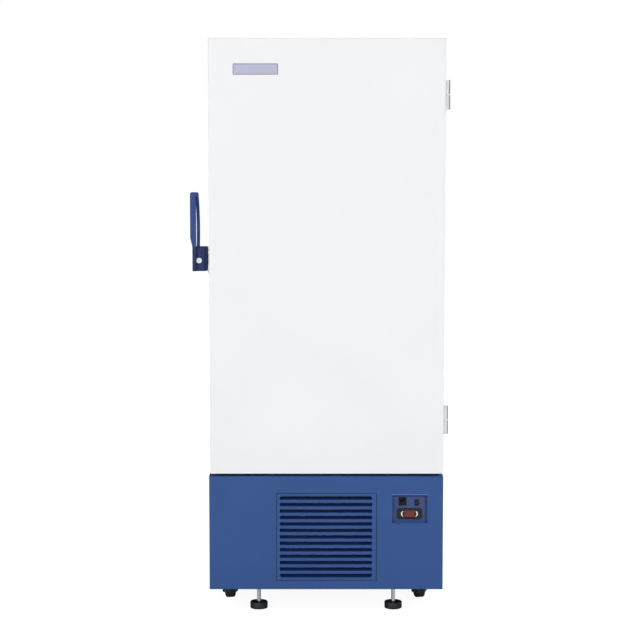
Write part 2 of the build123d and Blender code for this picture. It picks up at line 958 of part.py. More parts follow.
def stem_hole(x):
    """The hole in the base's floor that a levelling stem screws through."""
    low, high = base_bottom - past, machine_floor + past
    return rod_z(x, foot_y, low, high, foot_stem_radius + running)


def base_front_panel():
    """Folded front sheet with a pocket for the grille and a hole for the recess."""
    panel = block(-half_width, half_width, 0, cabinet_front, base_bottom, base_top)
    panel = fillet(panel.faces().sort_by(Axis.Y)[0].edges(), front_edge_radius)
    panel -= block(
        -inner_x, inner_x, sheet, cabinet_front + past, base_bottom + sheet, base_top - sheet,
    )
    back = grille_pocket_depth + sheet
    panel += grille_pocket(0, back, grille_pocket_wall)
    panel -= grille_pocket(-past, grille_pocket_depth)
    panel -= grille_pocket(-past, back + past, -grille_ledge)
    for x in (-foot_x, foot_x):
        panel -= stem_hole(x)
    return panel - tray_block(-past, sheet + past)


def tray_block(y0, y1, grow=0.0):
    """The rounded rectangle of the switch recess between two depths."""
    return rounded_y(
        tray_left - grow, tray_left + tray_width + grow, y0, y1,
        tray_bottom - grow, tray_bottom + tray_height + grow, tray_radius + grow,
    )


def fitting(centre, size, y0, y1, lap=0.0):
    """A rectangle in the recess between two depths, smaller by a lap all round."""
    x, z = centre
    w, h = size[0] / 2 - lap, size[1] / 2 - lap
    return block(x - w, x + w, y0, y1, z - h, z + h)


def switch_tray():
    """Moulded recess behind the front sheet, pierced for its fittings."""
    tray = tray_block(sheet, tray_back, tray_sheet) + tray_block(sheet, 2 * sheet, tray_flange)
    tray -= tray_block(0, tray_depth)
    for centre, size, lap in (
        (socket_centre, socket_size, small_bezel_lap),
        (small_rocker_centre, small_bezel_size, small_bezel_lap),
        (bezel_centre, bezel_size, bezel_lap),
    ):
        tray -= fitting(centre, size, tray_depth - past, tray_back + past, lap)
    return tray


def data_socket():
    """Square communication socket with an open cavity."""
    x, z = socket_centre
    front = tray_depth - socket_rim
    lap = small_bezel_lap + push_fit
    body = fitting(socket_centre, socket_size, front, tray_depth)
    body += fitting(socket_centre, socket_size, front, tray_depth + socket_length, lap)
    mouth_centre = (x, z + socket_mouth_rise)
    return body - fitting(mouth_centre, socket_mouth, front - past, tray_depth + socket_mouth_depth)


def rocker_housing(centre, bezel, rim, lap, rocker):
    """A rocker's bezel and the housing behind it, hollow to its back wall."""
    front = tray_depth - rim
    back = tray_depth + rocker_housing_depth
    housing = fitting(centre, bezel, front, tray_depth)
    if rim == bezel_rim:
        housing = fillet(housing.edges().filter_by(Axis.Y), bezel_radius)
    housing += fitting(centre, bezel, tray_depth - past, back, lap + push_fit)
    return housing - fitting(centre, rocker, front - past, back - sheet, -rocker_gap)


def rocker_bezels():
    """Housings of the two rocker switches, each with its cross pin."""
    large = rocker_housing(bezel_centre, bezel_size, bezel_rim, bezel_lap, power_rocker_size)
    x, z = bezel_centre
    half = power_rocker_size[1] / 2 + rocker_pin_root
    large += rod_z(x, rocker_pivot_y, z - half, z + half, rocker_pin_radius)
    small = rocker_housing(
        small_rocker_centre, small_bezel_size, small_bezel_rim, small_bezel_lap, small_rocker_size,
    )
    x, z = small_rocker_centre
    half = small_rocker_size[0] / 2 + rocker_pin_root
    small += rod_x(x - half, x + half, rocker_pivot_y, z, rocker_pin_radius)
    return [large, small]


def rocker_profile(length, rise):
    """Outline across a rocker's pivot: dished front, ends on an arc about the pin."""
    reach = length / 2 + rocker_gap / 2
    front_x = math.sqrt(reach**2 - rise**2)
    back_angle = math.radians(15)
    back_x = reach * math.cos(back_angle)
    back_y = reach * math.sin(back_angle)
    tail = 0.4 * reach
    return [
        (-front_x, -rise), (0, -rise + rocker_dish), (front_x, -rise), (reach, 0),
        (back_x, back_y), (tail, rise), (-tail, rise), (-back_x, back_y), (-reach, 0),
    ]


def power_rocker():
    """Red rocker that tips about an upright pin."""
    x, z = bezel_centre
    outline = [
        (x + u, rocker_pivot_y + v)
        for u, v in rocker_profile(power_rocker_size[0], power_rocker_rise)
    ]
    half = power_rocker_size[1] / 2
    body = profile_z(outline, z - half, z + half)
    bore = rod_z(x, rocker_pivot_y, z - half - past, z + half + past, rocker_pin_radius + running)
    return body - bore


def battery_rocker():
    """Small black rocker that tips about a level pin."""
    x, z = small_rocker_centre
    outline = [
        (rocker_pivot_y + v, z + u)
        for u, v in rocker_profile(small_rocker_size[1], small_rocker_rise)
    ]
    half = small_rocker_size[0] / 2
    body = profile_x(outline, x - half, x + half)
    bore = rod_x(x - half - past, x + half + past, rocker_pivot_y, z, rocker_pin_radius + running)
    return body - bore


def grille_blade(x0, x1, low):
    """A folded blade: an upright lip and a sheet that climbs behind it."""
    t = blade_sheet
    top = low + blade_lip
    outline = [
        (0, low), (0, top), (blade_reach, top + blade_rise), (blade_reach, top + blade_rise - t),
        (t, top - t), (t, low),
    ]
    return profile_x(outline, x0 - blade_root, x1 + blade_root)


def grille():
    """Pull-off grille: a flat frame round a column of inclined blades."""
    half = grille_width / 2 - grille_groove
    plate = rounded_y(
        grille_centre_x - half, grille_centre_x + half, 0, grille_sheet,
        grille_bottom + grille_groove, grille_bottom + grille_height - grille_groove,
        grille_corner_radius,
    )
    centre = grille_centre_x + grille_opening_shift
    opening_half = half - grille_side_border
    left, right = centre - opening_half, centre + opening_half
    opening_height = grille_height - 2 * (grille_groove + grille_end_border)
    low = grille_middle_z - opening_height / 2
    high = grille_middle_z + opening_height / 2
    plate -= rounded_y(
        left, right, -past, grille_sheet + past, low, high, grille_opening_radius,
    )
    gap = (opening_height - blade_count * blade_lip) / (blade_count + 1)
    for i in range(blade_count):
        plate += grille_blade(left, right, low + gap * (i + 1) + blade_lip * i)
    return plate


# Sides, rear and frame of the machine base

def base_side_panel():
    """Painted right side sheet of the machine base."""
    return block(inner_x, half_width, cabinet_front, rear_y, base_bottom, base_top)


def base_rear_panel():
    """Rear sheet with two fields of vent slots and the inlet's hole."""
    panel = block(-inner_x, inner_x, rear_y - sheet, rear_y, base_bottom, base_top)
    half = vent_length / 2
    for x in vent_columns:
        for row in range(vent_rows):
            z = base_bottom + vent_rise + row * vent_pitch
            panel -= block(
                x - half, x + half, rear_y - sheet - past, rear_y + past, z, z + vent_height,
            )
    return panel - inlet_block(-sheet - past, past)


def inlet_block(y0, y1, grow=0.0):
    """The mains inlet's rectangle between two depths from the rear."""
    w, h = inlet_width / 2 + grow, inlet_height / 2 + grow
    return block(inlet_x - w, inlet_x + w, rear_y + y0, rear_y + y1, inlet_z - h, inlet_z + h)


def mains_inlet():
    """Three-pin mains inlet."""
    body = inlet_block(-inlet_depth, inlet_flange, -push_fit)
    body += inlet_block(0, inlet_flange, inlet_rim)
    body -= inlet_block(-inlet_mouth_depth, inlet_flange + past, -inlet_wall - push_fit)
    w, h = inlet_pin_size[0] / 2, inlet_pin_size[1] / 2
    for side in (-1, 0, 1):
        x = inlet_x + side * inlet_pin_spread
        z = inlet_z + inlet_pin_step * (1 - 2 * abs(side))
        body += block(
            x - w, x + w, rear_y - inlet_mouth_depth - past, rear_y - inlet_pin_setback,
            z - h, z + h,
        )
    return body


def angle_post(x_sign, y, y_sign):
    """Upright steel angle in one corner of the base."""
    x = x_sign * inner_x
    leg_x = x - x_sign * angle_leg
    web_x = x - x_sign * angle_sheet
    leg_y = y + y_sign * angle_leg
    web_y = y + y_sign * angle_sheet
    outline = [(x, y), (x, leg_y), (web_x, leg_y), (web_x, web_y), (leg_x, web_y), (leg_x, y)]
    return profile_z(outline, machine_floor, base_top - angle_leg)


def base_frame():
    """Pan, corner angles and top rails that carry the cabinet."""
    front, back = cabinet_front, rear_y - sheet
    pan = block(-inner_x, inner_x, front, back, base_bottom, machine_floor)
    pan += block(-inner_x, inner_x, 2 * sheet, front, base_bottom + sheet, machine_floor)
    for x in (-foot_x, foot_x):
        pan -= stem_hole(x)
    low = base_top - angle_leg
    high = base_top - angle_sheet
    inside = inner_x - angle_leg
    rail = block(inside, inner_x, front, back, low, base_top)
    rail -= block(inside - past, inner_x - angle_sheet, front - past, back + past, low - past, high)
    front_cross = block(-inside, inside, front, front + angle_leg, high, base_top)
    rear_cross = block(-inside, inside, back - angle_leg, back, high, base_top)
    posts = [angle_post(side, front, 1) for side in (-1, 1)]
    posts += [angle_post(side, back, -1) for side in (-1, 1)]
    return [pan, rail, mirrored(rail), front_cross, rear_cross, *posts]


# Refrigeration machinery

def compressor(x, radius, height):
    """Hermetic compressor: welded shell, terminal box, footplate and rubber mounts."""
    z0 = compressor_floor
    plate_top = z0 + compressor_plate
    shell = turned(
        [(0, 0), (radius, 0), (radius, height), (0, height)],
        ((1, radius * 0.3), (2, radius * 0.6)),
    )
    seam_radius = radius + compressor_seam_reach
    unit = Pos(x, compressor_y, z0) * shell
    seam_low = z0 + height / 2
    unit += rod_z(x, compressor_y, seam_low, seam_low + compressor_seam_height, seam_radius)
    unit += block(
        x - radius, x + radius, compressor_y - radius, compressor_y + radius, z0, plate_top,
    )
    corner = radius - compressor_mount_inset
    for dx in (-corner, corner):
        for dy in (-corner, corner):
            unit += rod_z(
                x + dx, compressor_y + dy, machine_floor, plate_top, compressor_mount_radius,
            )
    width, depth, tall = terminal_size
    box_back = compressor_y - radius + depth
    low = z0 + terminal_rise
    return unit + block(
        x - width / 2, x + width / 2, box_back - 2 * depth, box_back, low, low + tall,
    )


def condenser():
    """Flat-tube condenser: upright headers, level tubes and the fin pack between them."""
    x = condenser_half_width
    y0 = condenser_front_y
    middle_y = y0 + header_radius
    low = machine_floor + condenser_low
    high = low + condenser_height
    core = rod_z(x, middle_y, machine_floor, high, header_radius)
    core += mirrored(core)
    tube_depth, tube_height = condenser_tube_size
    end = header_radius + tube_height
    step = (high - low - 2 * end) / (condenser_tubes - 1)
    for i in range(condenser_tubes):
        z = low + end + i * step
        core += block(
            -x, x, middle_y - tube_depth / 2, middle_y + tube_depth / 2,
            z - tube_height / 2, z + tube_height / 2,
        )
    half = condenser_fin_depth / 2
    return core + block(-x, x, middle_y - half, middle_y + half, low + end, high - end)


def fan_shroud():
    """Upright sheet behind the condenser with a rolled ring round the fan."""
    y0 = shroud_y
    y1 = y0 + shroud_ring_depth
    bore = fan_radius + fan_tip_gap
    shroud = block(
        -shroud_half_width, shroud_half_width, y0, y0 + shroud_sheet, machine_floor, shroud_top,
    )
    shroud += rod_y(0, y0, y1, fan_centre_z, bore + shroud_sheet)
    return shroud - rod_y(0, y0 - past, y1 + past, fan_centre_z, bore)


def fan_motor():
    """Fan motor on three arms that reach round the ring to the shroud's sheet."""
    motor = rod_y(0, motor_y, motor_y + motor_length, fan_centre_z, motor_radius)
    motor = chamfer(motor.edges().sort_by(Axis.Y)[-1], motor_chamfer)
    width, thick = motor_arm_size
    reach = fan_radius + fan_tip_gap + shroud_sheet + passing
    foot = reach + motor_arm_foot
    for angle in motor_arm_angles:
        arm = block(
            motor_radius - thick, foot, motor_y, motor_y + thick, -width / 2, width / 2,
        )
        arm += block(
            reach, foot, shroud_y + shroud_sheet, motor_y + thick, -width / 2, width / 2,
        )
        motor += Pos(0, 0, fan_centre_z) * Rot(0, -angle, 0) * arm
    bore_end = motor_y + motor_bore_depth
    return motor - rod_y(0, motor_y - past, bore_end, fan_centre_z, fan_shaft_radius + running)


def fan_blade():
    """One pitched paddle, wider towards its tip, lying along X."""
    root = fan_hub_radius - 2 * past
    tip = fan_radius - past
    outline = Line((root, -fan_blade_root), (tip, -fan_blade_tip))
    outline += ThreePointArc(
        (tip, -fan_blade_tip), (tip + fan_blade_sheet, 0), (tip, fan_blade_tip),
    )
    outline += Line((tip, fan_blade_tip), (root, fan_blade_root))
    outline += Line((root, fan_blade_root), (root, -fan_blade_root))
    face = Plane.XZ * make_face(outline)
    paddle = extrude(face, amount=fan_blade_sheet / 2, both=True)
    return Rot(fan_blade_pitch, 0, 0) * paddle


def fan_blades():
    """Fan on its shaft: a hub and a ring of pitched blades."""
    hub_end = fan_y + fan_hub_length
    fan = rod_y(0, fan_y, hub_end, fan_centre_z, fan_hub_radius)
    fan += rod_y(0, hub_end - past, hub_end + fan_shaft_length, fan_centre_z, fan_shaft_radius)
    place = Pos(0, shroud_y + fan_blade_inset, fan_centre_z)
    for i in range(fan_blade_count):
        turn = Rot(0, i * 360 / fan_blade_count, 0)
        fan += place * turn * fan_blade()
    return fan


def electrical_box():
    """Closed box for the controls, standing on the pan."""
    width, depth, height = control_box_size
    right = inner_x - control_box_side_gap
    front = cabinet_front + control_box_front_gap
    box = block(
        right - width, right, front, front + depth, machine_floor, machine_floor + height,
    )
    return fillet(box.edges().filter_by(Axis.Z), control_box_radius)


def tube(points, radius, bend):
    """A copper tube along a route with rounded corners."""
    path = FilletPolyline(*points, radius=bend)
    start = Plane(origin=path @ 0, z_dir=path % 0)
    return sweep(start * Circle(radius), path=path)


def hot_line(head_y, head_side):
    """Discharge tube from the first compressor to the condenser's left header."""
    top = compressor_floor + first_stage_height
    points = [
        (first_stage_x, compressor_y, top),
        (first_stage_x, compressor_y, hot_line_z),
        (first_stage_x, head_y, hot_line_z),
        (-head_side, head_y, hot_line_z),
    ]
    return tube(points, line_radius, line_bend)


def liquid_line(head_y, head_side):
    """Filter drier lying on the pan, and its tube from the right header."""
    z = machine_floor + drier_radius
    x = head_side + drier_offset
    y = head_y + drier_lead
    drier = rod_y(x, y, y + drier_length, z, drier_radius)
    points = [(head_side, head_y, z), (x, head_y, z), (x, y, z)]
    return drier + tube(points, line_radius, line_bend)


def cold_line():
    """Tube from the second compressor up into the insulation."""
    top = compressor_floor + second_stage_height
    back = compressor_y + cold_line_run
    points = [
        (second_stage_x, compressor_y, top),
        (second_stage_x, compressor_y, cold_line_z),
        (second_stage_x, back, cold_line_z),
        (second_stage_x, back, base_top),
    ]
    return tube(points, line_radius, line_bend)


def refrigerant_lines():
    """Filter drier and the tubes between the machines and the cold chamber."""
    head_y = condenser_front_y + header_radius
    head_side = condenser_half_width + header_radius
    return [hot_line(head_y, head_side), liquid_line(head_y, head_side), cold_line()]


# Feet and casters

def foot_pad():
    """Round levelling pad with a socket for its stem."""
    neck = foot_pad_neck_radius
    profile = [
        (0, 0), (foot_pad_radius, 0), (foot_pad_radius, foot_pad_rim),
        (foot_pad_radius - (foot_pad_shoulder - foot_pad_rim), foot_pad_shoulder),
        (neck, foot_pad_neck), (neck - past, foot_pad_height), (0, foot_pad_height),
    ]
    pad = turned(profile)
    top = foot_pad_height + past
    return pad - rod_z(0, 0, foot_socket_floor, top, foot_stem_radius + running)


def foot_nut(low, radius):
    """A hexagon round the stem."""
    return Pos(0, 0, low) * extrude(RegularPolygon(radius, 6), amount=foot_nut_height)


def foot_stem():
    """Stem with a hexagon near its foot and a lock nut under the base."""
    top = base_bottom + foot_stem_above_base
    stem = rod_z(0, 0, foot_socket_floor + passing, top, foot_stem_radius)
    stem += foot_nut(foot_pad_height + passing, foot_nut_radius - past)
    return stem + foot_nut(base_bottom - foot_nut_height, foot_nut_radius)


def caster_places():
    """Name, centre and resting turn of each caster's swivel."""
    front = cabinet_front + caster_front_inset
    rear = rear_y - caster_rear_inset
    return (
        ("front_left", -caster_x, front, caster_turns[0]),
        ("front_right", caster_x, front, caster_turns[1]),
        ("rear_left", -caster_x, rear, caster_turns[2]),
        ("rear_right", caster_x, rear, caster_turns[3]),
    )


def caster_plate():
    """Mounting plate with four slots and the kingpin that the fork turns on."""
    w, d = caster_plate_size[0] / 2, caster_plate_size[1] / 2
    plate = block(-w, w, -d, d, plate_bottom, base_bottom)
    plate = fillet(plate.edges().filter_by(Axis.Z), caster_plate_radius)
    slot = Pos(0, 0, plate_bottom - past) * extrude(
        SlotOverall(*caster_slot_size), amount=caster_plate_sheet + 2 * past,
    )
    for x in (-w + caster_slot_inset, w - caster_slot_inset):
        for y in (-d + caster_slot_inset, d - caster_slot_inset):
            plate -= Pos(x, y, 0) * slot
    return plate + rod_z(0, 0, crown_bottom - 2 * past, plate_bottom, kingpin_radius)


def caster_fork():
    """Fork with its axle, turning under the plate, wheel trailing behind."""
    crown = rod_z(0, 0, crown_bottom, crown_top, caster_crown_radius)
    crown = chamfer(crown.edges().sort_by(Axis.Z)[-1], caster_crown_chamfer)
    leg_x = wheel_width / 2 + fork_gap
    root = crown_bottom + past
    tip = wheel_radius - fork_tip_half + past
    outline = [
        (fork_root[0], root), (fork_root[1], root),
        (caster_trail + fork_tip_half, tip), (caster_trail - fork_tip_half, tip),
    ]
    leg = profile_x(outline, leg_x, leg_x + fork_sheet)
    leg = fillet(leg.edges().filter_by(Axis.X).group_by(Axis.Z)[0], fork_tip_half - past)
    axle_end = leg_x + fork_sheet + axle_head
    axle = rod_x(-axle_end, axle_end, caster_trail, wheel_radius, wheel_bore_radius)
    fork = crown + leg + mirrored(leg) + axle
    bore = rod_z(0, 0, crown_bottom - 2 * past, crown_top + past, kingpin_radius + running)
    return fork - bore


def caster_wheel():
    """Wheel with a rounded tread and a recessed web."""
    w = wheel_width / 2
    r = wheel_radius
    bore = wheel_bore_radius + running
    web = w - wheel_web_inset
    hub = wheel_hub_radius
    rim = r - wheel_rim
    half = [
        (bore, w), (hub - past, w), (hub, web), (rim, web), (rim + past, w),
        (r - wheel_crown + past, w), (r, w - wheel_crown),
    ]
    outline = [(radius, -x) for radius, x in half] + half[::-1]
    return Pos(0, caster_trail, r) * Rot(0, 90, 0) * turned(outline)


def save_cabinet():
    """Write the fixed cabinet and what it holds."""
    side = side_panel()
    save("side_panel_left", mirrored(side))
    save("side_panel_right", side)
    save("top_panel", top_panel())
    save("rear_panel", rear_panel())
    save("deck_panel", deck_panel())
    save("roof_cover", roof_cover())
    save("cabinet_foam", cabinet_foam())
    save("evaporator_coil", evaporator_coil())
    save("inner_liner", *inner_liner())
    save("breaker_frame", *breaker_frame())
    save("inner_frame", *inner_frame())
    save("shelves", *[shelf(z) for z in shelf_levels()])
    save("shelf_supports", *shelf_supports())
    save("latch_keeper", latch_keeper())
    save("hinge_leaves_cabinet", *[hinge_leaf(z, False) for z in hinge_heights])


def save_doors():
    """Write the outer door with its handle and latch, and the two inner doors."""
    save("door_skin", door_skin())
    save("door_foam", door_foam())
    save("door_liner", door_liner())
    save("door_gasket", door_gasket())
    save("hinge_leaves_door", *[hinge_leaf(z, True) for z in hinge_heights])
    save("handle_bracket", handle_bracket())
    save("handle_lever", handle_lever())
    save("latch_hook", latch_hook())
    save("lock_cylinder", lock_cylinder())
    save("lock_plug", lock_plug())
    for name, low, high in (
        ("upper", upper_door_low, upper_door_high),
        ("lower", lower_door_low, lower_door_high),
    ):
        save(f"inner_door_{name}", inner_door(low, high))
        save(f"inner_gasket_{name}", inner_gasket(low, high))


def save_base():
    """Write the machine base's sheets, switches and frame."""
    side = base_side_panel()
    save("base_frame", *base_frame())
    save("base_front_panel", base_front_panel())
    save("base_side_panels", side, mirrored(side))
    save("base_rear_panel", base_rear_panel())
    save("mains_inlet", mains_inlet())
    save("switch_tray", switch_tray())
    save("data_socket", data_socket())
    save("rocker_bezels", *rocker_bezels())
    save("power_rocker", power_rocker())
    save("battery_rocker", battery_rocker())
    save("grille", grille())


def save_machinery():
    """Write the refrigeration machinery."""
    first = compressor(first_stage_x, first_stage_radius, first_stage_height)
    second = compressor(second_stage_x, second_stage_radius, second_stage_height)
    save("compressor_first_stage", first)
    save("compressor_second_stage", second)
    save("condenser", condenser())
    save("fan_shroud", fan_shroud())
    save("fan_motor", fan_motor())
    save("fan_blades", fan_blades())
    save("electrical_box", electrical_box())
    save("refrigerant_lines", *refrigerant_lines())


def save_feet():
    """Write the levelling feet and the casters."""
    left, right = Pos(-foot_x, foot_y, 0), Pos(foot_x, foot_y, 0)
    save("foot_stems", left * foot_stem(), right * foot_stem())
    save("foot_pad_left", left * foot_pad())
    save("foot_pad_right", right * foot_pad())
    plates = []
    for name, x, y, turn in caster_places():
        place = Pos(x, y, 0)
        turned_place = place * Rot(0, 0, turn)
        plates.append(place * caster_plate())
        save(f"caster_fork_{name}", turned_place * caster_fork())
        save(f"caster_wheel_{name}", turned_place * caster_wheel())
    save("caster_plates", *plates)


def main():
    os.makedirs("parts", exist_ok=True)
    save_cabinet()
    save_doors()
    save_base()
    save_machinery()
    save_feet()


main()
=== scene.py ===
import json
import math

import bmesh
import bpy
from mathutils import Matrix, Vector

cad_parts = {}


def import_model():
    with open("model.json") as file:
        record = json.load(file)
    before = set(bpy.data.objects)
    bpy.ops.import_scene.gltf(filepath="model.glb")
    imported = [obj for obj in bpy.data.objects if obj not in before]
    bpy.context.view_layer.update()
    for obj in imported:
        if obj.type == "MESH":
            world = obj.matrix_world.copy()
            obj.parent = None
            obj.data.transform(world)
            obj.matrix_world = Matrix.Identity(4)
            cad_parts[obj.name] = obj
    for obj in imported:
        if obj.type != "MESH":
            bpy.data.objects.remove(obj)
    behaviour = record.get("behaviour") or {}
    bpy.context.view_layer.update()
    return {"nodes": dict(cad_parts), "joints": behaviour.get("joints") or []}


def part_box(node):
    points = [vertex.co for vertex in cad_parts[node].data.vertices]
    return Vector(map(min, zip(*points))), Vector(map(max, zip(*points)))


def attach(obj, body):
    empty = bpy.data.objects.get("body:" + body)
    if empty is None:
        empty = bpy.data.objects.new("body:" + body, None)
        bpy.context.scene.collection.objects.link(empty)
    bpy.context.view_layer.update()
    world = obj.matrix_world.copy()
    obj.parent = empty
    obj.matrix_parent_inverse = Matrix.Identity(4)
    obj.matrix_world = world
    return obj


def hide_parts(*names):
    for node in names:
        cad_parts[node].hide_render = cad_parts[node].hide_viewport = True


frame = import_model()

# Places read from the frame, in metres
MM = 0.001
front_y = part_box("door_skin")[0].y
base_low, base_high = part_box("base_front_panel")
cabinet_x = (base_low.x + base_high.x) / 2

# The photograph's view: place of the lens from the cabinet's middle and front plane
CAMERA_SIDE = -21.0 * MM
CAMERA_BACK = 5731.0 * MM
CAMERA_HEIGHT = 1516.0 * MM
CAMERA_PITCH = math.radians(5.05)
FOCAL_PIXELS = 1700.0
IMAGE_PIXELS = 640.0
SENSOR_MM = 36.0

# Studio: the plain light, the sides' and front's share of it in reflections, the floor
PLAIN_LIGHT = 0.30
SIDE_REFLECTION = 0.12
FRONT_REFLECTION = 0.95
FLOOR_GLOW = 1.42
FLOOR_GLOW_SHARE = 0.65
FLOOR_REACH = 30.0

# Lamps: name, place, size in metres, watts, seen by the camera, seen in reflections
LAMP_AIM = Vector((0.0, 0.0, 1.0))
LAMPS = (
    ("key", (-3.6, -6.8, 2.4), 3.4, 178.0, True, True),
    ("front", (3.4, -7.2, 1.3), 2.4, 168.0, True, False),
    ("rear", (2.6, 7.4, 3.0), 4.0, 190.0, False, True),
    ("roof", (0.3, 0.7, 6.2), 3.0, 100.0, False, False),
)

# The switch recess's flange behind the front sheet, and the grille's borders round its opening
TRAY_FLANGE = 8.0 * MM
GRILLE_END_BORDER = 8.9 * MM
GRILLE_SIDE_BORDER = 12.5 * MM
GRILLE_SHIFT = 1.8 * MM
recess_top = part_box("switch_tray")[1].z - TRAY_FLANGE

# A hinge's half height and the thickness of its leaves; the lever's block under its grip
HINGE_HALF = 50.0 * MM
LEAF = 4.0 * MM
LEVER_BLOCK = 82.0 * MM

# Badge plate on the door, from the cabinet's middle
BADGE_LEFT = -312.6 * MM
BADGE_RIGHT = -161.4 * MM
BADGE_LOW = 1832.7 * MM
BADGE_HIGH = 1869.5 * MM

# Steps of a rounded corner and of a box's edge, the angle in degrees above which a CAD
# edge is rounded, and the distance within which vertices are joined
CORNER_STEPS = 6
EDGE_SEGMENTS = 3
SHARP_ANGLE = 35.0
SAME_POINT = 1e-5


def linear(red, green, blue):
    """A colour given as 0 to 255 screen values, as linear light with alpha."""
    def one(value):
        value /= 255.0
        return value / 12.92 if value <= 0.04045 else ((value + 0.055) / 1.055) ** 2.4
    return (one(red), one(green), one(blue), 1.0)


# Node helpers

class Nodes:
    """A material's node tree with short calls to add and join nodes."""

    def __init__(self, name):
        self.material = bpy.data.materials.new(name)
        self.material.use_nodes = True
        self.tree = self.material.node_tree
        self.tree.nodes.clear()
        self.shader = self.add("ShaderNodeBsdfPrincipled")
        self.output = self.add("ShaderNodeOutputMaterial")
        self.join(self.shader, "BSDF", self.output, "Surface")
        self.place = self.add("ShaderNodeTexCoord")

    def add(self, kind, **values):
        node = self.tree.nodes.new(kind)
        for key, value in values.items():
            setattr(node, key, value)
        return node

    def join(self, source, out, target, into):
        self.tree.links.new(source.outputs[out], target.inputs[into])

    def noise(self, scale, detail=2.0):
        """Noise at a scale in features per metre."""
        node = self.add("ShaderNodeTexNoise")
        node.inputs["Scale"].default_value = scale
        node.inputs["Detail"].default_value = detail
        self.join(self.place, "Object", node, "Vector")
        return node

    def streaks(self, stretch):
        """Noise that is drawn out, with its features per metre along each axis."""
        mapping = self.add("ShaderNodeMapping")
        mapping.inputs["Scale"].default_value = stretch
        self.join(self.place, "Object", mapping, "Vector")
        node = self.add("ShaderNodeTexNoise")
        node.inputs["Scale"].default_value = 1.0
        node.inputs["Detail"].default_value = 4.0
        node.inputs["Roughness"].default_value = 0.6
        self.join(mapping, "Vector", node, "Vector")
        return node

    def cells(self, scale):
        """Small cells at a scale in features per metre."""
        node = self.add("ShaderNodeTexVoronoi")
        node.inputs["Scale"].default_value = scale
        self.join(self.place, "Object", node, "Vector")
        return node

    def tint(self, source, out, colour, amount):
        """The colour, a little darker and lighter as the source goes from 0 to 1."""
        ramp = self.add("ShaderNodeValToRGB")
        dark = [c * (1 - amount) for c in colour[:3]] + [1.0]
        light = [min(1.0, c * (1 + amount)) for c in colour[:3]] + [1.0]
        ramp.color_ramp.elements[0].color = dark
        ramp.color_ramp.elements[0].position = 0.3
        ramp.color_ramp.elements[1].color = light
        ramp.color_ramp.elements[1].position = 0.7
        self.join(source, out, ramp, "Fac")
        self.join(ramp, "Color", self.shader, "Base Color")
        return ramp

    def bump(self, source, out, distance, below=None):
        """A bump of a real height in metres."""
        node = self.add("ShaderNodeBump")
        node.inputs["Distance"].default_value = distance
        node.inputs["Strength"].default_value = 1.0
        self.join(source, out, node, "Height")
        if below is not None:
            self.join(below, "Normal", node, "Normal")
        self.join(node, "Normal", self.shader, "Normal")
        return node

    def rough(self, source, out, low, high):
        """Roughness from low to high as the source goes from 0 to 1."""
        node = self.add("ShaderNodeMapRange")
        node.inputs["To Min"].default_value = low
        node.inputs["To Max"].default_value = high
        self.join(source, out, node, "Value")
        self.join(node, "Result", self.shader, "Roughness")

    def painted_shade(self, ramp, colour, axis, start, end):
        """Painted shade: blend a ramp to a darker colour between two places on an axis."""
        axes = self.add("ShaderNodeSeparateXYZ")
        self.join(self.place, "Object", axes, "Vector")
        depth = self.add("ShaderNodeMapRange")
        depth.inputs["From Min"].default_value = start
        depth.inputs["From Max"].default_value = end
        self.join(axes, axis, depth, "Value")
        mix = self.add("ShaderNodeMix", data_type="RGBA")
        factor, first, second, result = 0, 6, 7, 2
        mix.inputs[second].default_value = colour
        self.join(depth, "Result", mix, factor)
        self.join(ramp, "Color", mix, first)
        self.join(mix, result, self.shader, "Base Color")

    def set(self, **values):
        """Plain values of the shader's inputs, with _ for a space in their names."""
        for key, value in values.items():
            self.shader.inputs[key.replace("_", " ")].default_value = value


# Materials

def painted_sheet(name, colour, gloss, peel, tint=0.015, specular=0.5):
    """Baked paint on sheet steel: a slight orange peel and faint tone changes."""
    n = Nodes(name)
    broad = n.noise(3.0, 3.0)
    n.tint(broad, "Fac", colour, tint)
    fine = n.noise(700.0, 3.0)
    n.bump(fine, "Fac", peel)
    n.rough(broad, "Fac", gloss - 0.03, gloss + 0.04)
    n.set(Specular_IOR_Level=specular)
    return n.material


def textured_coat(name, colour, painted_shade=None):
    """Textured powder coat: a fine stipple of small domes, with painted shade where it recedes."""
    depth = 0.00006
    n = Nodes(name)
    cells = n.cells(1800.0)
    broad = n.noise(5.0, 4.0)
    ramp = n.tint(broad, "Fac", colour, 0.05)
    if painted_shade is not None:
        n.painted_shade(ramp, *painted_shade)
    soft = n.noise(600.0)
    first = n.bump(cells, "Distance", depth)
    n.bump(soft, "Fac", depth, below=first)
    n.rough(soft, "Fac", 0.44, 0.58)
    n.set(Specular_IOR_Level=0.3)
    return n.material


def moulded_plastic(name, colour, gloss=0.4, tint=0.04, specular=0.5):
    """Moulded plastic with a fine etched grain."""
    n = Nodes(name)
    fine = n.noise(2600.0)
    n.bump(fine, "Fac", 0.00002)
    broad = n.noise(18.0)
    n.tint(broad, "Fac", colour, tint)
    n.rough(broad, "Fac", gloss - 0.05, gloss + 0.05)
    n.set(Specular_IOR_Level=specular)
    return n.material


def brushed(name, colour):
    """Brushed metal with fine level streaks."""
    n = Nodes(name)
    streak = n.streaks((6.0, 6.0, 900.0))
    n.tint(streak, "Fac", colour, 0.08)
    n.bump(streak, "Fac", 0.00001)
    n.rough(streak, "Fac", 0.24, 0.42)
    n.set(Metallic=1.0)
    return n.material


def plated(name, colour, gloss, metal=1.0):
    """Bright plating with faint cloudiness."""
    n = Nodes(name)
    cloud = n.noise(60.0, 3.0)
    n.tint(cloud, "Fac", colour, 0.04)
    n.rough(cloud, "Fac", gloss - 0.04, gloss + 0.08)
    n.set(Metallic=metal)
    return n.material


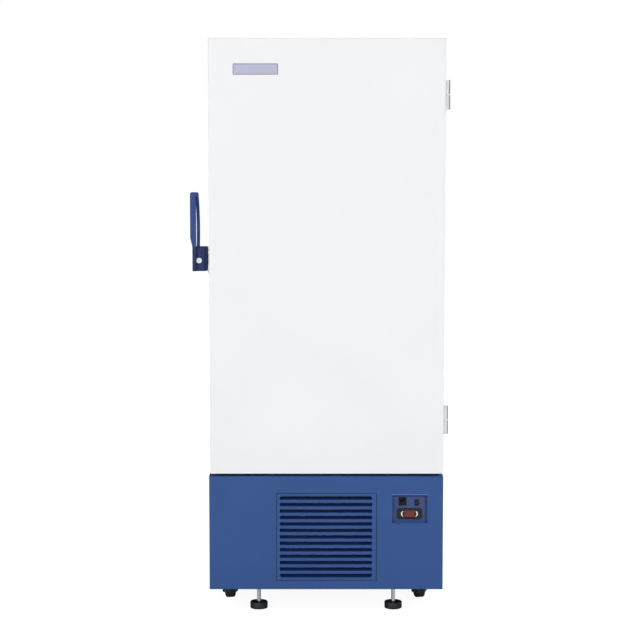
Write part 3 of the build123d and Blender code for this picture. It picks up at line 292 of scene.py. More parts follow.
def zinc(name, colour):
    """Zinc coating with the patchy crystals of galvanised sheet."""
    n = Nodes(name)
    cells = n.cells(90.0)
    n.tint(cells, "Color", colour, 0.12)
    n.rough(cells, "Color", 0.32, 0.5)
    n.set(Metallic=1.0)
    return n.material


def soft_rubber(name, colour, gloss=0.65):
    """Rubber or soft vinyl with a dusty, finely pitted face."""
    n = Nodes(name)
    pits = n.noise(1200.0, 3.0)
    n.bump(pits, "Fac", 0.00003)
    broad = n.noise(25.0, 3.0)
    n.tint(broad, "Fac", colour, 0.07)
    n.rough(broad, "Fac", gloss - 0.05, gloss + 0.1)
    return n.material


def copper_tube(name):
    """Copper with darker tarnish in patches."""
    n = Nodes(name)
    cloud = n.noise(35.0, 4.0)
    n.tint(cloud, "Fac", linear(196, 120, 84), 0.25)
    n.rough(cloud, "Fac", 0.25, 0.45)
    n.set(Metallic=1.0)
    return n.material


def finned(name, colour):
    """A core of thin fins: fine upright stripes."""
    n = Nodes(name)
    wave = n.add("ShaderNodeTexWave", bands_direction="X")
    wave.inputs["Scale"].default_value = 120.0
    n.join(n.place, "Object", wave, "Vector")
    n.tint(wave, "Fac", colour, 0.5)
    n.bump(wave, "Fac", 0.0006)
    n.set(Metallic=0.9, Roughness=0.45)
    return n.material


def foam(name, colour):
    """Cut polyurethane foam: open cells."""
    n = Nodes(name)
    cells = n.cells(700.0)
    n.tint(cells, "Distance", colour, 0.15)
    n.bump(cells, "Distance", 0.0004)
    n.set(Roughness=0.95)
    return n.material


def red_lens(name):
    """Red plastic under a clear, glossy face, with uneven depth of colour."""
    n = Nodes(name)
    cloud = n.noise(140.0, 3.0)
    n.tint(cloud, "Fac", linear(102, 28, 20), 0.18)
    n.rough(cloud, "Fac", 0.18, 0.3)
    n.set(Coat_Weight=0.5, Coat_Roughness=0.1)
    return n.material


white_paint = painted_sheet("white_paint", linear(243, 244, 245), 0.38, 0.00002)
base_blue = linear(49, 83, 141)
blue_coat = textured_coat("blue_coat", base_blue)
# Painted shade: the grille's blades darken from just behind their front lip, for the shade deep in
# the slots.
blue_blade_shaded = textured_coat("blue_blade_shaded", base_blue, painted_shade=(
    linear(20, 40, 90), "Y", front_y + 1.2 * MM, front_y + 2.6 * MM,
))
# Painted shade: the chassis is given a dark navy so the inside of the base reads as deep shade
# through the slots.
chassis_shade_coat = textured_coat("chassis_shade_coat", linear(22, 38, 72))
# Painted shade: a dark band along the top of the switch recess, for the shadow under its lip.
tray_coat_shaded = textured_coat("tray_coat_shaded", linear(62, 79, 126), painted_shade=(
    linear(24, 42, 92), "Z", recess_top - 9.0 * MM, recess_top - 6.6 * MM,
))
# Painted light: a lighter copy of the base blue, so the sill in the recess's shade reads as lit.
sill_lit_coat = textured_coat("sill_lit_coat", linear(64, 100, 168))
blue_handle = painted_sheet("blue_handle", linear(46, 70, 130), 0.34, 0.00003, 0.04, 0.3)
handle_block = painted_sheet("handle_block", linear(26, 42, 88), 0.34, 0.00003, 0.04, 0.3)
# Painted highlight: a lighter blue than the base, so the lip reads as a pale line of light.
lip_highlight_paint = painted_sheet("lip_highlight_paint", linear(84, 114, 168), 0.4, 0.00003)
white_plastic = moulded_plastic("white_plastic", linear(236, 238, 239), 0.4, 0.01)
grey_plastic = moulded_plastic("grey_plastic", linear(196, 198, 200), 0.4, 0.015)
black_plastic = moulded_plastic("black_plastic", linear(14, 18, 19), 0.42, 0.04, 0.25)
gloss_black = moulded_plastic("gloss_black", linear(24, 26, 27), 0.3, 0.04, 0.35)
wheel_rubber = soft_rubber("wheel_rubber", linear(30, 30, 31))
pad_rubber = soft_rubber("pad_rubber", linear(28, 28, 30), 0.55)
gasket_vinyl = soft_rubber("gasket_vinyl", linear(205, 207, 209), 0.5)
stainless = brushed("stainless", linear(208, 210, 212))
hinge_steel = plated("hinge_steel", linear(214, 215, 217), 0.34)
chrome = plated("chrome", linear(225, 227, 230), 0.1)
# Painted reflection: a near-white face with little metal, so the lock reads as bright as chrome
# facing the front.
lock_sheen_steel = plated("lock_sheen_steel", linear(246, 247, 248), 0.25, 0.35)
plug_steel = plated("plug_steel", linear(222, 224, 228), 0.3, 0.5)
galvanised = zinc("galvanised", linear(176, 180, 184))
copper = copper_tube("copper")
fins = finned("fins", linear(150, 152, 154))
foam_yellow = foam("foam_yellow", linear(232, 214, 158))
red_rocker = red_lens("red_rocker")
dark_steel = plated("dark_steel", linear(70, 71, 74), 0.35)
compressor_black = painted_sheet("compressor_black", linear(30, 30, 32), 0.35, 0.00006, 0.1)
badge_face = painted_sheet("badge_face", linear(186, 187, 212), 0.42, 0.00004, 0.03)
badge_rim = painted_sheet("badge_rim", linear(132, 133, 142), 0.4, 0.00004, 0.03)
# Painted light: a whiter copy of the door's paint, so the hinges in the door's shade read as lit.
hinge_lit_paint = painted_sheet("hinge_lit_paint", linear(253, 253, 253), 0.38, 0.00002)
brass = plated("brass", linear(206, 172, 98), 0.25)
# Painted highlight: pale crescents for the glints on the bezel's rounded ends.
crescent_highlight_white = moulded_plastic("crescent_highlight_white", linear(250, 250, 250), 0.5)


# Mesh helpers

def from_mesh(name, bm, material, body, smooth_angle=SHARP_ANGLE):
    """A finished piece from a mesh under construction."""
    bmesh.ops.recalc_face_normals(bm, faces=bm.faces)
    mesh = bpy.data.meshes.new(name)
    bm.to_mesh(mesh)
    bm.free()
    piece = bpy.data.objects.new(name, mesh)
    bpy.context.scene.collection.objects.link(piece)
    mesh.materials.append(material)
    smooth(mesh, smooth_angle)
    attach(piece, body)
    return piece


def smooth(mesh, angle):
    """Smooth shading that keeps edges sharper than the angle."""
    for face in mesh.polygons:
        face.use_smooth = True
    mesh.set_sharp_from_angle(angle=math.radians(angle))


def add_box(bm, low, high, bevel=0.0):
    """A box between two corners with rounded edges."""
    made = bmesh.ops.create_cube(bm, size=1.0)
    size = Vector(high) - Vector(low)
    middle = (Vector(high) + Vector(low)) / 2
    for vertex in made["verts"]:
        vertex.co = vertex.co * size + middle
    if bevel > 0:
        edges = {edge for vertex in made["verts"] for edge in vertex.link_edges}
        bmesh.ops.bevel(
            bm, geom=list(edges), offset=bevel, segments=EDGE_SEGMENTS, profile=0.5,
            affect="EDGES",
        )


def add_revolved(bm, profile, place, segments):
    """A closed or open profile of (radius, height) points turned about Z."""
    rings = []
    for radius, height in profile:
        if radius < 1e-7:
            rings.append([bm.verts.new(place @ Vector((0, 0, height)))])
            continue
        ring = []
        for i in range(segments):
            a = 2 * math.pi * i / segments
            point = Vector((radius * math.cos(a), radius * math.sin(a), height))
            ring.append(bm.verts.new(place @ point))
        rings.append(ring)
    for lower, upper in zip(rings, rings[1:]):
        for i in range(segments):
            j = (i + 1) % segments
            if len(lower) == 1 and len(upper) == 1:
                continue
            if len(lower) == 1:
                bm.faces.new((lower[0], upper[i], upper[j]))
            elif len(upper) == 1:
                bm.faces.new((lower[i], lower[j], upper[0]))
            else:
                bm.faces.new((lower[i], lower[j], upper[j], upper[i]))


def facing(place, direction):
    """A matrix that puts local +Z along a direction at a place."""
    turn = Vector((0, 0, 1)).rotation_difference(Vector(direction)).to_matrix().to_4x4()
    return Matrix.Translation(Vector(place)) @ turn


def add_socket_screw(bm, place, direction, radius):
    """A button head with a six-sided recess."""
    at = facing(place, direction)
    sides, step = 24, math.pi / 3
    height, flat, socket = radius * 0.55, radius * 0.62, radius * 0.44
    add_revolved(
        bm, [(radius, 0.0), (radius, height * 0.25), (radius * 0.88, height * 0.7), (flat, height)],
        at, sides,
    )

    def point(reach, angle, z):
        return bm.verts.new(at @ Vector((reach * math.cos(angle), reach * math.sin(angle), z)))

    rim, hexagon, floor = [], [], []
    for i in range(sides):
        a = 2 * math.pi * i / sides
        reach = socket * math.cos(step / 2) / math.cos((a % step) - step / 2)
        rim.append(point(flat, a, height))
        hexagon.append(point(reach, a, height))
        floor.append(point(reach, a, height * 0.3))
    for i in range(sides):
        j = (i + 1) % sides
        bm.faces.new((rim[i], rim[j], hexagon[j], hexagon[i]))
        bm.faces.new((hexagon[i], hexagon[j], floor[j], floor[i]))
    bm.faces.new(floor)


def screws(name, places, direction, radius, body, material=hinge_steel):
    """A set of button-head screws on one body."""
    bm = bmesh.new()
    for place in places:
        add_socket_screw(bm, place, direction, radius)
    bmesh.ops.remove_doubles(bm, verts=bm.verts, dist=1e-6)
    return from_mesh(name, bm, material, body)


# Dressing of the CAD nodes

def welded(piece):
    """Join the vertices of neighbouring faces."""
    weld = piece.modifiers.new("weld", "WELD")
    weld.merge_threshold = SAME_POINT


def dress(node, material, bevel):
    """Give a CAD node its material and softened edges."""
    piece = frame["nodes"][node]
    piece.data.materials.clear()
    piece.data.materials.append(material)
    welded(piece)
    if bevel > 0:
        rounding = piece.modifiers.new("edge", "BEVEL")
        rounding.width = bevel
        rounding.segments = 2
        rounding.limit_method = "ANGLE"
        rounding.angle_limit = math.radians(SHARP_ANGLE)
        rounding.harden_normals = False


DRESS = {
    "side_panel_left": (white_paint, 0.0005),
    "side_panel_right": (white_paint, 0.0005),
    "top_panel": (white_paint, 0.0005),
    "rear_panel": (white_paint, 0.0004),
    "deck_panel": (white_paint, 0.0004),
    "door_skin": (white_paint, 0.0),
    "handle_bracket": (white_paint, 0.0004),
    "door_liner": (white_plastic, 0.0008),
    "breaker_frame": (white_plastic, 0.0005),
    "inner_door_upper": (white_plastic, 0.0006),
    "inner_door_lower": (white_plastic, 0.0006),
    "roof_cover": (grey_plastic, 0.0006),
    "cabinet_foam": (foam_yellow, 0.0),
    "door_foam": (foam_yellow, 0.0),
    "inner_liner": (stainless, 0.0002),
    "shelves": (stainless, 0.0003),
    "shelf_supports": (stainless, 0.0003),
    "inner_frame": (stainless, 0.0003),
    "inner_gasket_upper": (gasket_vinyl, 0.0004),
    "inner_gasket_lower": (gasket_vinyl, 0.0004),
    "latch_keeper": (hinge_steel, 0.0003),
    "base_front_panel": (blue_coat, 0.0),
    "base_side_panels": (blue_coat, 0.0004),
    "base_rear_panel": (blue_coat, 0.0002),
    "grille": (blue_blade_shaded, 0.0003),
    "switch_tray": (tray_coat_shaded, 0.0003),
    "latch_hook": (handle_block, 0.0005),
    "lock_cylinder": (lock_sheen_steel, 0.0003),
    "lock_plug": (plug_steel, 0.0002),
    "base_frame": (chassis_shade_coat, 0.0),
    "fan_shroud": (galvanised, 0.0),
    "caster_plates": (galvanised, 0.0004),
    "data_socket": (black_plastic, 0.0003),
    "battery_rocker": (gloss_black, 0.0004),
    "mains_inlet": (black_plastic, 0.0003),
    "fan_blades": (black_plastic, 0.0003),
    "power_rocker": (red_rocker, 0.0005),
    "compressor_first_stage": (compressor_black, 0.002),
    "compressor_second_stage": (compressor_black, 0.002),
    "fan_motor": (compressor_black, 0.0006),
    "electrical_box": (galvanised, 0.0006),
    "condenser": (fins, 0.0),
    "evaporator_coil": (copper, 0.0),
    "refrigerant_lines": (copper, 0.0),
}
for place in ("front_left", "front_right", "rear_left", "rear_right"):
    DRESS[f"caster_fork_{place}"] = (galvanised, 0.0004)
    DRESS[f"caster_wheel_{place}"] = (wheel_rubber, 0.0008)
for node, (material, bevel) in DRESS.items():
    dress(node, material, bevel)


# Detailed pieces

def rounded_rectangle(x0, x1, z0, z1, radius):
    """The outline of a rounded rectangle as (x, z) points."""
    corners = (
        (x1 - radius, z1 - radius, 0.0), (x0 + radius, z1 - radius, 90.0),
        (x0 + radius, z0 + radius, 180.0), (x1 - radius, z0 + radius, 270.0),
    )
    points = []
    for x, z, start in corners:
        for i in range(CORNER_STEPS + 1):
            a = math.radians(start + 90.0 * i / CORNER_STEPS)
            points.append((x + radius * math.cos(a), z + radius * math.sin(a)))
    return points


def add_rings(bm, rings, closed=False):
    """Quads between rings of the same count, with end faces or joined last to first."""
    made = [[bm.verts.new(point) for point in ring] for ring in rings]
    pairs = list(zip(made, made[1:]))
    if closed:
        pairs.append((made[-1], made[0]))
    else:
        bm.faces.new(made[0][::-1])
        bm.faces.new(made[-1])
    for near, far in pairs:
        for i in range(len(near)):
            j = (i + 1) % len(near)
            bm.faces.new((near[i], near[j], far[j], far[i]))


def swept(name, profile, x0, x1, y, z, material, body):
    """A (y, z) profile in millimetres from a line, carried along it from x0 to x1."""
    bm = bmesh.new()
    add_rings(bm, [[(x, y + py * MM, z + pz * MM) for py, pz in profile] for x in (x0, x1)])
    from_mesh(name, bm, material, body)


def frame_ring(low, high, grow, y):
    """The corners of a box's front, moved out by a distance, at a depth."""
    return [
        (low.x - grow, y, low.z - grow), (high.x + grow, y, low.z - grow),
        (high.x + grow, y, high.z + grow), (low.x - grow, y, high.z + grow),
    ]


def badge():
    """Bare plate on the door, with a raised rim round its grained face."""
    x0, x1 = cabinet_x + BADGE_LEFT, cabinet_x + BADGE_RIGHT
    radius = 3.0 * MM
    steps = ((0.0, 0.3), (0.0, -1.2), (0.4, -1.6), (2.3, -1.6), (2.7, -1.1))
    rings = []
    for inset, y in steps:
        inset *= MM
        outline = rounded_rectangle(
            x0 + inset, x1 - inset, BADGE_LOW + inset, BADGE_HIGH - inset, radius - inset,
        )
        rings.append([(x, front_y + y * MM, z) for x, z in outline])
    bm = bmesh.new()
    add_rings(bm, rings)
    piece = from_mesh("badge_plate", bm, badge_rim, "outer_door", 30.0)
    piece.data.materials.append(badge_face)
    widest = max(piece.data.polygons, key=lambda face: face.area * (face.normal.y < -0.9))
    widest.material_index = 1


def crescents():
    """Two pale crescents on the large bezel, one each side of the rocker: painted highlights for
    glints on its rounded ends.
    """
    rocker_low, rocker_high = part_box("power_rocker")
    face_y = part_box("rocker_bezels")[0].y
    z = (rocker_low.z + rocker_high.z) / 2
    reach, half_angle, steps = 10.0 * MM, 76.0, 16
    bm = bmesh.new()
    for x, side in ((rocker_low.x, -1), (rocker_high.x, 1)):
        outer, inner = [], []
        for i in range(steps + 1):
            a = math.radians(half_angle * (2 * i / steps - 1))
            thin = reach - (0.4 + 3.8 * math.cos(a)) * MM
            outer.append((x + side * reach * math.cos(a), z + reach * math.sin(a)))
            inner.append((x + side * thin * math.cos(a), z + thin * math.sin(a)))
        outline = outer + inner[::-1]
        rings = [[(px, face_y + dy * MM, pz) for px, pz in outline] for dy in (0.2, -0.35)]
        add_rings(bm, rings)
    from_mesh("bezel_glints", bm, crescent_highlight_white, "cabinet")


def lever():
    """The lever with its rear bar set out to the right, and the bridge over both bars."""
    mesh = frame["nodes"]["handle_lever"].data.copy()
    mesh.name = "lever"
    mesh.materials.clear()
    mesh.materials.append(blue_handle)
    mesh.materials.append(handle_block)
    low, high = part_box("handle_lever")
    block_top = low.z + LEVER_BLOCK
    for face in mesh.polygons:
        face.material_index = 1 if face.center.z < block_top + 0.1 * MM else 0
    bar_left, bar_right = low.x + 14.5 * MM, low.x + 25.1 * MM
    outset = 3.7 * MM
    for vertex in mesh.vertices:
        on_bar = any(abs(vertex.co.x - x) < 0.02 * MM for x in (bar_left, bar_right))
        if on_bar and vertex.co.z > block_top - 7 * MM:
            vertex.co.x += outset
    piece = bpy.data.objects.new("lever", mesh)
    bpy.context.scene.collection.objects.link(piece)
    welded(piece)
    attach(piece, "handle")
    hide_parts("handle_lever")
    x0, x1 = low.x, bar_right + outset
    z0, z1 = high.z - 13 * MM, high.z
    rings = []
    for inset, depth in ((1.6, 16.9), (0.0, 15.6), (0.0, 3.0), (0.9, 0.9), (3.0, 0.1)):
        outline = rounded_rectangle(
            x0 + inset * MM, x1 - inset * MM, z0 + inset * MM, z1 - inset * MM, (6.4 - inset) * MM,
        )
        rings.append([(x, low.y + depth * MM, z) for x, z in outline])
    bm = bmesh.new()
    add_rings(bm, rings)
    from_mesh("lever_bridge", bm, blue_handle, "handle", 60.0)


def joint(name):
    """The frame's joint of that name."""
    return next(j for j in frame["joints"] if j["name"] == name)


def hinge_middles():
    """The heights of the two hinges' middles."""
    low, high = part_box("hinge_leaves_door")
    return (low.z + HINGE_HALF, high.z - HINGE_HALF)


def hinges():
    """Leaves and knuckles in a whiter paint that is painted light, with a steel cover on the outer
    side of each knuckle.
    """
    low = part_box("hinge_leaves_door")[0]
    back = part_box("hinge_leaves_cabinet")[1].y
    side_x, axis = low.x, Vector(joint("outer_door_hinge")["pos_m"])
    knuckle, soft, washer, apart = 8.0 * MM, 0.7 * MM, 1.8 * MM, 0.4 * MM
    middles = hinge_middles()
    for name, body, node, y0, y1, way in (
        ("hinges_door", "outer_door", "hinge_leaves_door", low.y, axis.y - 4 * MM, 1),
        ("hinges_cabinet", "cabinet", "hinge_leaves_cabinet", axis.y + 4 * MM, back, -1),
    ):
        bm = bmesh.new()
        for z in middles:
            rings = []
            for inset, x in ((0.0, 0.0), (0.0, LEAF - 0.6 * MM), (0.5, LEAF)):
                trim = inset * MM
                outline = rounded_rectangle(
                    y0 + trim, y1 - trim, z - HINGE_HALF + trim, z + HINGE_HALF - trim,
                    6.0 * MM - trim,
                )
                rings.append([(side_x + x, y, pz) for y, pz in outline])
            add_rings(bm, rings)
            near, far = z + way * apart, z + way * HINGE_HALF
            z0, z1 = sorted((near, far))
            edge = y1 if way > 0 else y0
            arm_low, arm_high = sorted((edge - way * 2 * MM, axis.y + way * 1.5 * MM))
            add_box(bm, (side_x, arm_low, z0), (side_x + 3.4 * MM, arm_high, z1), 0.4 * MM)
            add_box(
                bm, (side_x + 1 * MM, axis.y - 1.5 * MM, z0), (axis.x, axis.y + 1.5 * MM, z1),
                0.4 * MM,
            )
            outline = [
                (0.0, near), (knuckle - soft, near), (knuckle - soft, near + way * washer),
                (knuckle, near + way * (washer + soft)), (knuckle, far - way * soft),
                (knuckle - soft, far), (0.0, far),
            ]
            add_revolved(bm, outline, Matrix.Translation((axis.x, axis.y, 0.0)), 40)
        piece = from_mesh(name, bm, hinge_lit_paint, body, 30.0)
        piece.data.materials.append(hinge_steel)
        for face in piece.data.polygons:
            if face.center.x > axis.x + 2.4 * MM and abs(face.normal.z) < 0.5:
                off_middle = min(abs(face.center.z - z) for z in middles)
                face.material_index = 1 if off_middle > apart + washer else 0
        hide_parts(node)


def recess_lip():
    """A folded drip lip on the front sheet, over the switch recess, in a lighter blue that is a
    painted highlight.
    """
    low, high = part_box("switch_tray")
    profile = ((0.05, 4.0), (-1.0, 3.2), (-1.4, 1.8), (-1.2, 0.6), (0.05, 0.4))
    inset = TRAY_FLANGE - 1.5 * MM
    swept(
        "recess_lip", profile, low.x + inset, high.x - inset, front_y, recess_top, lip_highlight_paint,
        "cabinet",
    )


def recess_sill():
    """A sloped sill in the bottom of the switch recess, in a lighter blue that is painted light."""
    low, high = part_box("switch_tray")
    profile = ((1.6, 0.1), (17.9, 6.6), (17.9, 0.1))
    inset = TRAY_FLANGE + 3.2 * MM
    swept(
        "recess_sill", profile, low.x + inset, high.x - inset, front_y, low.z + TRAY_FLANGE,
        sill_lit_coat, "cabinet",
    )


def bezels():
    """Rounded bezels of the two rockers with their hollow housings."""
    low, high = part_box("rocker_bezels")
    face, seat, back = low.y, low.y + 2.0 * MM, high.y
    bm = bmesh.new()
    for rocker, wide, tall, corner in (
        ("power_rocker", 23.5, 7.15, 6.6), ("battery_rocker", 2.4, 2.4, 1.8),
    ):
        start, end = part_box(rocker)
        sections = (
            (wide, tall, corner, seat), (wide, tall, corner, face + 0.9 * MM),
            (wide - 0.5, tall - 0.5, corner - 0.5, face + 0.2 * MM),
            (wide - 1.3, tall - 1.3, corner - 1.3, face), (0.9, 0.9, 0.5, face),
            (0.5, 0.5, 0.4, face + 0.4 * MM), (0.5, 0.5, 0.4, back), (1.9, 1.9, 0.8, back),
            (1.9, 1.9, 0.8, seat),
        )
        rings = []
        for grow_x, grow_z, radius, y in sections:
            outline = rounded_rectangle(
                start.x - grow_x * MM, end.x + grow_x * MM,
                start.z - grow_z * MM, end.z + grow_z * MM, radius * MM,
            )
            rings.append([(x, y, z) for x, z in outline])
        add_rings(bm, rings, closed=True)
    piece = from_mesh("bezels", bm, gloss_black, "cabinet", 40.0)
    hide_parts("rocker_bezels")


def grille_sill():
    """The sheet that climbs behind the lowest slot from the edge of the opening."""
    low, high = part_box("grille")
    left = low.x + GRILLE_SIDE_BORDER - GRILLE_SHIFT - 0.4 * MM
    right = high.x - GRILLE_SIDE_BORDER - GRILLE_SHIFT + 0.4 * MM
    profile = ((1.9, -0.2), (13.8, 8.0), (13.8, 6.6), (2.2, -1.3), (1.9, -1.2))
    swept(
        "grille_sill", profile, left, right, front_y, low.z + GRILLE_END_BORDER, blue_blade_shaded,
        "grille",
    )


def side_screws():
    """Button-head screws in the hinge leaves, the lever's bracket and the keeper."""
    radius = 3.6 * MM
    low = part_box("hinge_leaves_door")[0]
    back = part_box("hinge_leaves_cabinet")[1].y
    leaf_x = low.x + LEAF
    rows = [z + dz * MM for z in hinge_middles() for dz in (-36.0, 0.0, 36.0)]
    places = [(leaf_x, low.y + dy * MM, z) for z in rows for dy in (12.0, 30.0)]
    screws("hinge_screws_door", places, (1, 0, 0), radius, "outer_door")
    places = [(leaf_x, back - dy * MM, z) for z in rows for dy in (12.0, 30.0)]
    screws("hinge_screws_cabinet", places, (1, 0, 0), radius, "cabinet")
    low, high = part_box("handle_bracket")
    plate_x = high.x - 3.0 * MM
    places = [(plate_x, y, z) for y in (low.y + 8 * MM, high.y - 8 * MM)
              for z in (low.z + 9 * MM, high.z - 9 * MM)]
    screws("bracket_screws", places, (-1, 0, 0), radius, "outer_door")
    low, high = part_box("latch_keeper")
    places = [(high.x - 2 * MM, high.y - 3.4 * MM, z) for z in (low.z + 8 * MM, high.z - 8 * MM)]
    screws("keeper_screws", places, (-1, 0, 0), 2.4 * MM, "cabinet")


def panel_screws():
    """Screws round the rear sheets, on the base's sides and under the caster plates."""
    inset, radius = 11 * MM, 3.4 * MM
    low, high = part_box("rear_panel")
    base_back_low, base_back_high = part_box("base_rear_panel")
    columns = [low.x + inset, high.x - inset]
    rise = (high.z - low.z - 2 * inset) / 6
    spots = {(x, low.z + inset + rise * i) for x in columns for i in range(7)}
    span = (high.x - low.x - 2 * inset) / 4
    rows = (
        low.z + inset, high.z - inset, base_back_low.z + inset, base_back_high.z - inset,
    )
    spots |= {(low.x + inset + span * i, z) for i in range(5) for z in rows}
    places = [(x, high.y, z) for x, z in sorted(spots)]
    screws("rear_screws", places, (0, 1, 0), radius, "cabinet")
    low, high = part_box("base_side_panels")
    for name, x, way in (("left", low.x, -1), ("right", high.x, 1)):
        places = [(x, low.y + inset + i * (high.y - low.y - 2 * inset) / 3, z)
                  for i in range(4) for z in (low.z + inset, high.z - inset)]
        screws(f"side_screws_{name}", places, (way, 0, 0), radius, "cabinet")
    low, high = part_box("caster_plates")
    centres = [(x, y) for x in (low.x + 34 * MM, high.x - 34 * MM)
               for y in (low.y + 30 * MM, high.y - 30 * MM)]
    places = [(x + dx * MM, y + dy * MM, high.z - 3 * MM)
              for x, y in centres for dx in (-24, 24) for dy in (-20, 20)]
    screws("plate_bolts", places, (0, 0, -1), 3.2 * MM, "cabinet", galvanised)


def add_hexagon(bm, at, low, high, radius, chamfer):
    """A chamfered nut along local Z."""
    outline = [
        (0.0, low), (radius - chamfer, low), (radius, low + chamfer * 0.5),
        (radius, high - chamfer * 0.5), (radius - chamfer, high), (0.0, high),
    ]
    add_revolved(bm, outline, at, 6)


def feet():
    """Levelling pads as chamfered cups, and their threaded stems with lock nuts."""
    pad = [
        (0.0, 0.0), (28.0, 0.0), (28.8, 0.3), (30.2, 2.0), (30.4, 20.3), (29.8, 22.1),
        (28.4, 23.2), (26.6, 23.5), (25.0, 22.8), (24.2, 21.5), (23.6, 12.6), (22.6, 12.0),
        (7.4, 12.0), (7.2, 8.0), (0.0, 8.0),
    ]
    stem = [
        (0.0, 8.3), (6.6, 8.3), (6.7, 12.2), (9.0, 12.3), (9.0, 13.6), (7.6, 19.0), (6.7, 24.0),
        (6.7, 66.0),
    ]
    z, thread_end, pitch = 67.0, 108.0, 1.75
    while z < thread_end:
        stem += [(6.7, z), (6.35, z + 0.7), (6.35, z + 1.1)]
        z += pitch
    stem += [(6.3, 110.0), (5.4, 111.0), (0.0, 111.0)]
    base_z = base_low.z
    stems = bmesh.new()
    for side in ("left", "right"):
        low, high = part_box(f"foot_pad_{side}")
        x, y = (low.x + high.x) / 2, (low.y + high.y) / 2
        at = Matrix.Translation((x, y, 0.0))
        bm = bmesh.new()
        add_revolved(bm, [(r * MM, z * MM) for r, z in pad], at, 72)
        piece = from_mesh(f"foot_cup_{side}", bm, pad_rubber, f"foot_{side}", 30.0)
        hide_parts(f"foot_pad_{side}")
        add_revolved(stems, [(r * MM, z * MM) for r, z in stem], at, 40)
        add_hexagon(stems, at, base_z - 7 * MM, base_z - 0.05 * MM, 11.8 * MM, 1.2 * MM)
    piece = from_mesh("stems", stems, chrome, "cabinet", 30.0)
    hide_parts("foot_stems")


def grille_shadow_strip():
    """A dark strip in the groove round the grille's plate: a foam seal that is also painted shade
    for the groove's shadow line.
    """
    low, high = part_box("grille")
    outer, inner = 1.9 * MM, -4.0 * MM
    floor_y = front_y + 2.3 * MM
    section = (
        (outer, floor_y), (outer, floor_y - 0.5 * MM), (inner, floor_y - 0.2 * MM),
        (inner, floor_y),
    )
    bm = bmesh.new()
    add_rings(bm, [frame_ring(low, high, grow, y) for grow, y in section], closed=True)
    from_mesh("grille_shadow_strip", bm, wheel_rubber, "cabinet")


def axle_nuts():
    """A chamfered nut on each end of each caster's axle, outside the fork."""
    for place in ("front_left", "front_right", "rear_left", "rear_right"):
        roll = joint(f"wheel_{place}_roll")
        centre, axis = Vector(roll["pos_m"]), Vector(roll["axis"])
        bm = bmesh.new()
        for way in (-1, 1):
            at = facing(centre, axis * way)
            add_hexagon(bm, at, 20.3 * MM, 26.0 * MM, 6.6 * MM, 1.2 * MM)
            end = [(0.0, 25.8), (3.6, 25.8), (3.6, 27.4), (3.0, 28.0), (0.0, 28.0)]
            add_revolved(bm, [(r * MM, z * MM) for r, z in end], at, 24)
        from_mesh(f"axle_nuts_{place}", bm, dark_steel, f"swivel_{place}", 30.0)


def door_seal():
    """Hollow-looking magnetic seal with a bellows on each side of its flat face."""
    low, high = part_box("door_gasket")
    profile = [
        (0.0, 0.0), (0.0, 2.6), (1.6, 4.0), (2.2, 5.2), (1.2, 6.6), (1.0, 8.2), (2.2, 10.4),
        (4.4, 11.6), (17.6, 11.6), (19.8, 10.4), (21.0, 8.2), (20.8, 6.6), (19.8, 5.2),
        (20.4, 4.0), (22.0, 2.6), (22.0, 0.0),
    ]
    rings = [frame_ring(low, high, -inset * MM, low.y + rise * MM) for inset, rise in profile]
    bm = bmesh.new()
    add_rings(bm, rings, closed=True)
    piece = from_mesh("door_seal", bm, gasket_vinyl, "outer_door", 40.0)
    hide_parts("door_gasket")


def condenser_fins():
    """Thin upright fins standing out from the front and back of the condenser's core."""
    low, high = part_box("condenser")
    middle_y = (low.y + high.y) / 2
    root, tip, half_thick = 7.8 * MM, 9.6 * MM, 0.2 * MM
    left, right = low.x + 26 * MM, high.x - 26 * MM
    bottom, top = low.z + 34 * MM, high.z - 18 * MM
    count = 104
    step = (right - left) / (count - 1)
    bm = bmesh.new()
    for i in range(count):
        x = left + step * i
        for y0, y1 in ((middle_y - tip, middle_y - root), (middle_y + root, middle_y + tip)):
            add_box(bm, (x - half_thick, y0, bottom), (x + half_thick, y1, top))
    from_mesh("condenser_fins", bm, fins, "cabinet")


def contacts():
    """Metal pins of the mains inlet and the strips inside the data socket."""
    low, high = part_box("mains_inlet")
    x, z = (low.x + high.x) / 2, (low.z + high.z) / 2
    bm = bmesh.new()
    for side in (-1, 0, 1):
        px = x + side * 6 * MM
        pz = z + 2 * MM * (1 - 2 * abs(side))
        add_box(
            bm, (px - 1.1 * MM, high.y - 20.5 * MM, pz - 2.6 * MM),
            (px + 1.1 * MM, high.y - 6.3 * MM, pz + 2.6 * MM), 0.5 * MM,
        )
    from_mesh("inlet_pins", bm, brass, "cabinet")
    low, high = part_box("data_socket")
    x = (low.x + high.x) / 2
    roof = (low.z + high.z) / 2 + 11 * MM
    bm = bmesh.new()
    for i in range(4):
        px = x + (i - 1.5) * 2.6 * MM
        add_box(
            bm, (px - 0.55 * MM, low.y + 3 * MM, roof - 1.1 * MM),
            (px + 0.55 * MM, low.y + 12.6 * MM, roof - 0.1 * MM), 0.2 * MM,
        )
    from_mesh("socket_strips", bm, brass, "cabinet")


badge()
crescents()
lever()
hinges()
recess_lip()
recess_sill()
bezels()
grille_sill()
side_screws()
panel_screws()
feet()
grille_shadow_strip()
axle_nuts()
door_seal()
condenser_fins()
contacts()


# Stage, light and camera

